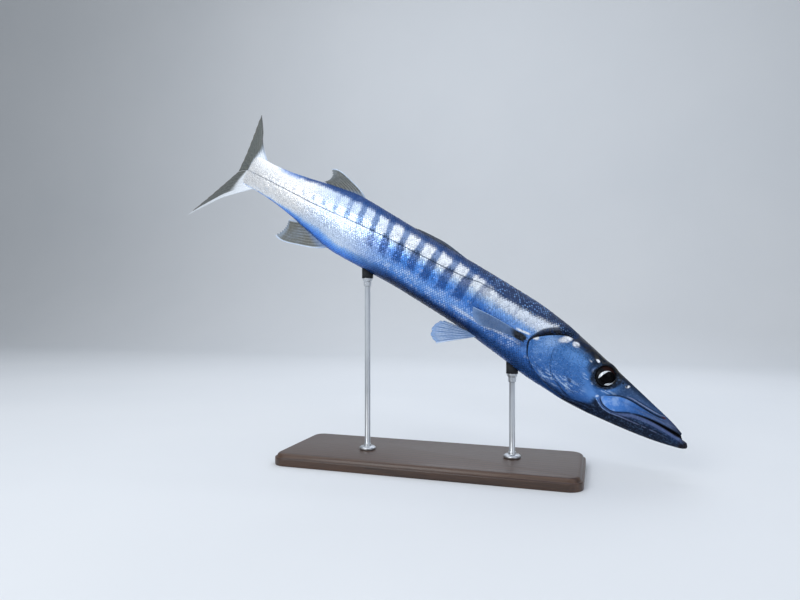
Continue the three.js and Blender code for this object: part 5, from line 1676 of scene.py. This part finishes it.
def steelMaterial():
    m = Finish("brushed_steel", **{"Base Color": "#c9ccd0", "Metallic": 1.0})
    place = m.place()
    brush = m.noise(m.stretched(place, (60.0, 60.0, 2600.0)), 1.0, 3, 0.6)
    smudge = m.noise(place, 34, 3)
    return m.set(Base_Color=m.blend(smudge, "#b4b9bf", "#d6d9dc"),
                 Roughness=0.24 + brush * 0.16 + smudge * 0.06, Normal=m.bump(brush, 0.12, 0.0002))


def rubberMaterial():
    m = Finish("pad_rubber", **{"Specular IOR Level": 0.35})
    speck = m.noise(m.place(), 900, 3)
    return m.set(Base_Color=m.blend(speck, "#17191c", "#25282c"), Roughness=0.62 + speck * 0.2,
                 Normal=m.bump(speck, 0.2, 0.0003))


def rodParts(top):  # the turned rod with its flange and collar, the flange's screws and a grub screw
    r, f, pad = stand["rod"], stand["flange"], stand["pad"]
    floor = stand["thick"] + 0.0002
    shoulder = floor + stand["flangeThick"]
    parts = [lathed(easedProfile([
        (r - 0.0006, stand["thick"] - 0.01), (r, stand["thick"] - 0.0094), (r, floor), (f, floor),
        (f, floor + 0.0032), (f - 0.0022, shoulder), (r + 0.0021, shoulder), (r + 0.0012, floor + 0.0062),
        (r + 0.0012, floor + 0.0092), (r, floor + 0.0098), (r, top - 0.013), (r + 0.0016, top - 0.0124),
        (r + 0.0016, top - 0.0052), (r + 0.0028, top - 0.0044), (pad - 0.0008, top - 0.0008),
        (pad - 0.0003, top + 0.0004)], 0.0003), stand["sides"])]
    s, head = stand["screw"], floor + 0.0042
    screw, screwFaces = lathed(easedProfile([
        (s * 0.9, head - 0.0012), (s, head), (s * 0.75, head + 0.0005), (s * 0.5, head + 0.0006),
        (s * 0.45, head - 0.0003), (0.0002, head - 0.0003)], 0.00008), 20)
    for k in range(stand["screws"]):
        angle = k * 2 * math.pi / stand["screws"] + 0.5
        shift = np.array([math.cos(angle), math.sin(angle), 0]) * stand["screwRing"]
        parts.append((screw + shift, screwFaces))
    grub, grubFaces = lathed([(0.0014, 0.0), (0.0014, 0.0019), (0.0009, 0.0022), (0.0008, 0.0016),
                              (0.0001, 0.0016)], 18)
    parts.append((grub[:, [1, 2, 0]] * [1, -1, 1] + [0, -r - 0.0004, top - 0.0088], grubFaces))
    return joined(parts)


def padSurface(middle, top, bodyTree):  # a disc that is flat below and follows the belly above
    n, rings = stand["sides"], stand["padRings"]
    spots, quads = [], []
    for side in (0, 1):
        for k in range(rings + 1):
            reach = stand["pad"] * k / rings
            for a in np.arange(n) / n * 2 * math.pi:
                x, y, z = middle[0] + reach * math.cos(a), middle[1] + reach * math.sin(a), top
                if side:
                    hit = bodyTree.ray_cast(Vector((x, y, 0)), Vector((0, 0, 1)))[0]
                    z = max(top + 0.0012, hit.z + 0.0003)
                spots.append((x, y, z))
    upper = (rings + 1) * n
    for s in [side * upper + k * n for side in (0, 1) for k in range(rings)]:
        quads += [(s + j, s + (j + 1) % n, s + (j + 1) % n + n, s + j + n) for j in range(n)]
    rim = rings * n
    quads += [(rim + j, rim + (j + 1) % n, rim + (j + 1) % n + upper, rim + j + upper) for j in range(n)]
    return spots, quads


def makeRods():
    steel, rubber = steelMaterial(), rubberMaterial()
    work = bmesh.new()
    work.from_mesh(bodySkin.data)
    bodyTree = BVHTree.FromBMesh(work)
    work.free()
    for name, station in stand["rods"]:
        belly = posed([[station, 0, float(sectionCurves[1](station))]])[0]
        top = belly[2] - stand["padDrop"]
        points, faces = rodParts(top)
        rod = meshObject(f"{name}_steel", points + [belly[0], belly[1], 0], faces, steel)
        ownPiece(faceOut(rod, 1e-8), "stand_steel", name)
        pad = meshObject(f"{name}_pad", *padSurface(belly, top + 0.0004, bodyTree), rubber)
        ownPiece(faceOut(pad, 1e-6), "stand_steel", name)


makeBase()
makeRods()

# Plain stage

def makeStage():
    reach, corner, sweep = view["floorSize"], view["wallAt"], view["sweep"]
    rows = [(-reach, 0.0), (corner - sweep, 0.0)]
    for a in np.linspace(0, math.pi / 2, 25)[1:]:
        rows.append((corner - sweep + sweep * math.sin(a), sweep * (1 - math.cos(a))))
    rows.append((corner, view["wallHeight"]))
    points = [(x, y, z) for x in (-reach, reach) for y, z in rows]
    n = len(rows)
    faces = [(i, n + i, n + i + 1, i + 1) for i in range(n - 1)]
    m = Finish("studio_floor", **{"Specular IOR Level": 0.2})
    place = m.place()
    tone = m.noise(place, 2.2, 3)
    colour = m.blend(tone, "#d9dde1", "#e0e3e6")
    paper = m.noise(place, 420, 2)
    material = m.set(Base_Color=colour, Roughness=0.72 + paper * 0.1, Normal=m.bump(paper, 0.05, 0.0004))
    meshObject("studio_floor", points, faces, material)


def areaLight(name, place, aim, size, power, colour="#ffffff"):
    data = bpy.data.lights.new(name, "AREA")
    data.shape = "RECTANGLE"
    data.size, data.size_y = size
    data.energy = power
    data.color = plain(colour)[:3]
    light = bpy.data.objects.new(name, data)
    light.location = place
    light.rotation_euler = (Vector(aim) - Vector(place)).to_track_quat("-Z", "Y").to_euler()
    bpy.context.scene.collection.objects.link(light)


def makeLights():
    areaLight("overhead", (-0.1, -0.1, 2.1), (0.0, 0.1, 0.3), (3.6, 2.6), 30, "#f4f8ff")
    areaLight("key", (-0.7, -1.9, 1.2), (0.0, 0.0, 0.3), (1.1, 1.1), 22)
    areaLight("fill", (1.9, -1.1, 0.7), (0.1, 0.0, 0.25), (1.2, 1.2), 6, "#eef3ff")
    areaLight("rear", (0.3, 1.5, 1.3), (0.0, 0.0, 0.3), (2.0, 0.8), 7, "#eef4ff")
    areaLight("backdrop", (-0.6, 1.0, 2.7), (-0.7, 2.6, 1.0), (3.0, 0.6), 12, "#f6f9ff")
    world = bpy.data.worlds.new("studio")
    world.use_nodes = True
    world.node_tree.nodes["Background"].inputs[0].default_value = plain("#e3e8ee")
    world.node_tree.nodes["Background"].inputs[1].default_value = 0.42
    bpy.context.scene.world = world
    bpy.context.scene.view_settings.view_transform = "Standard"


makeStage()
makeLights()
print("stage and lights set")
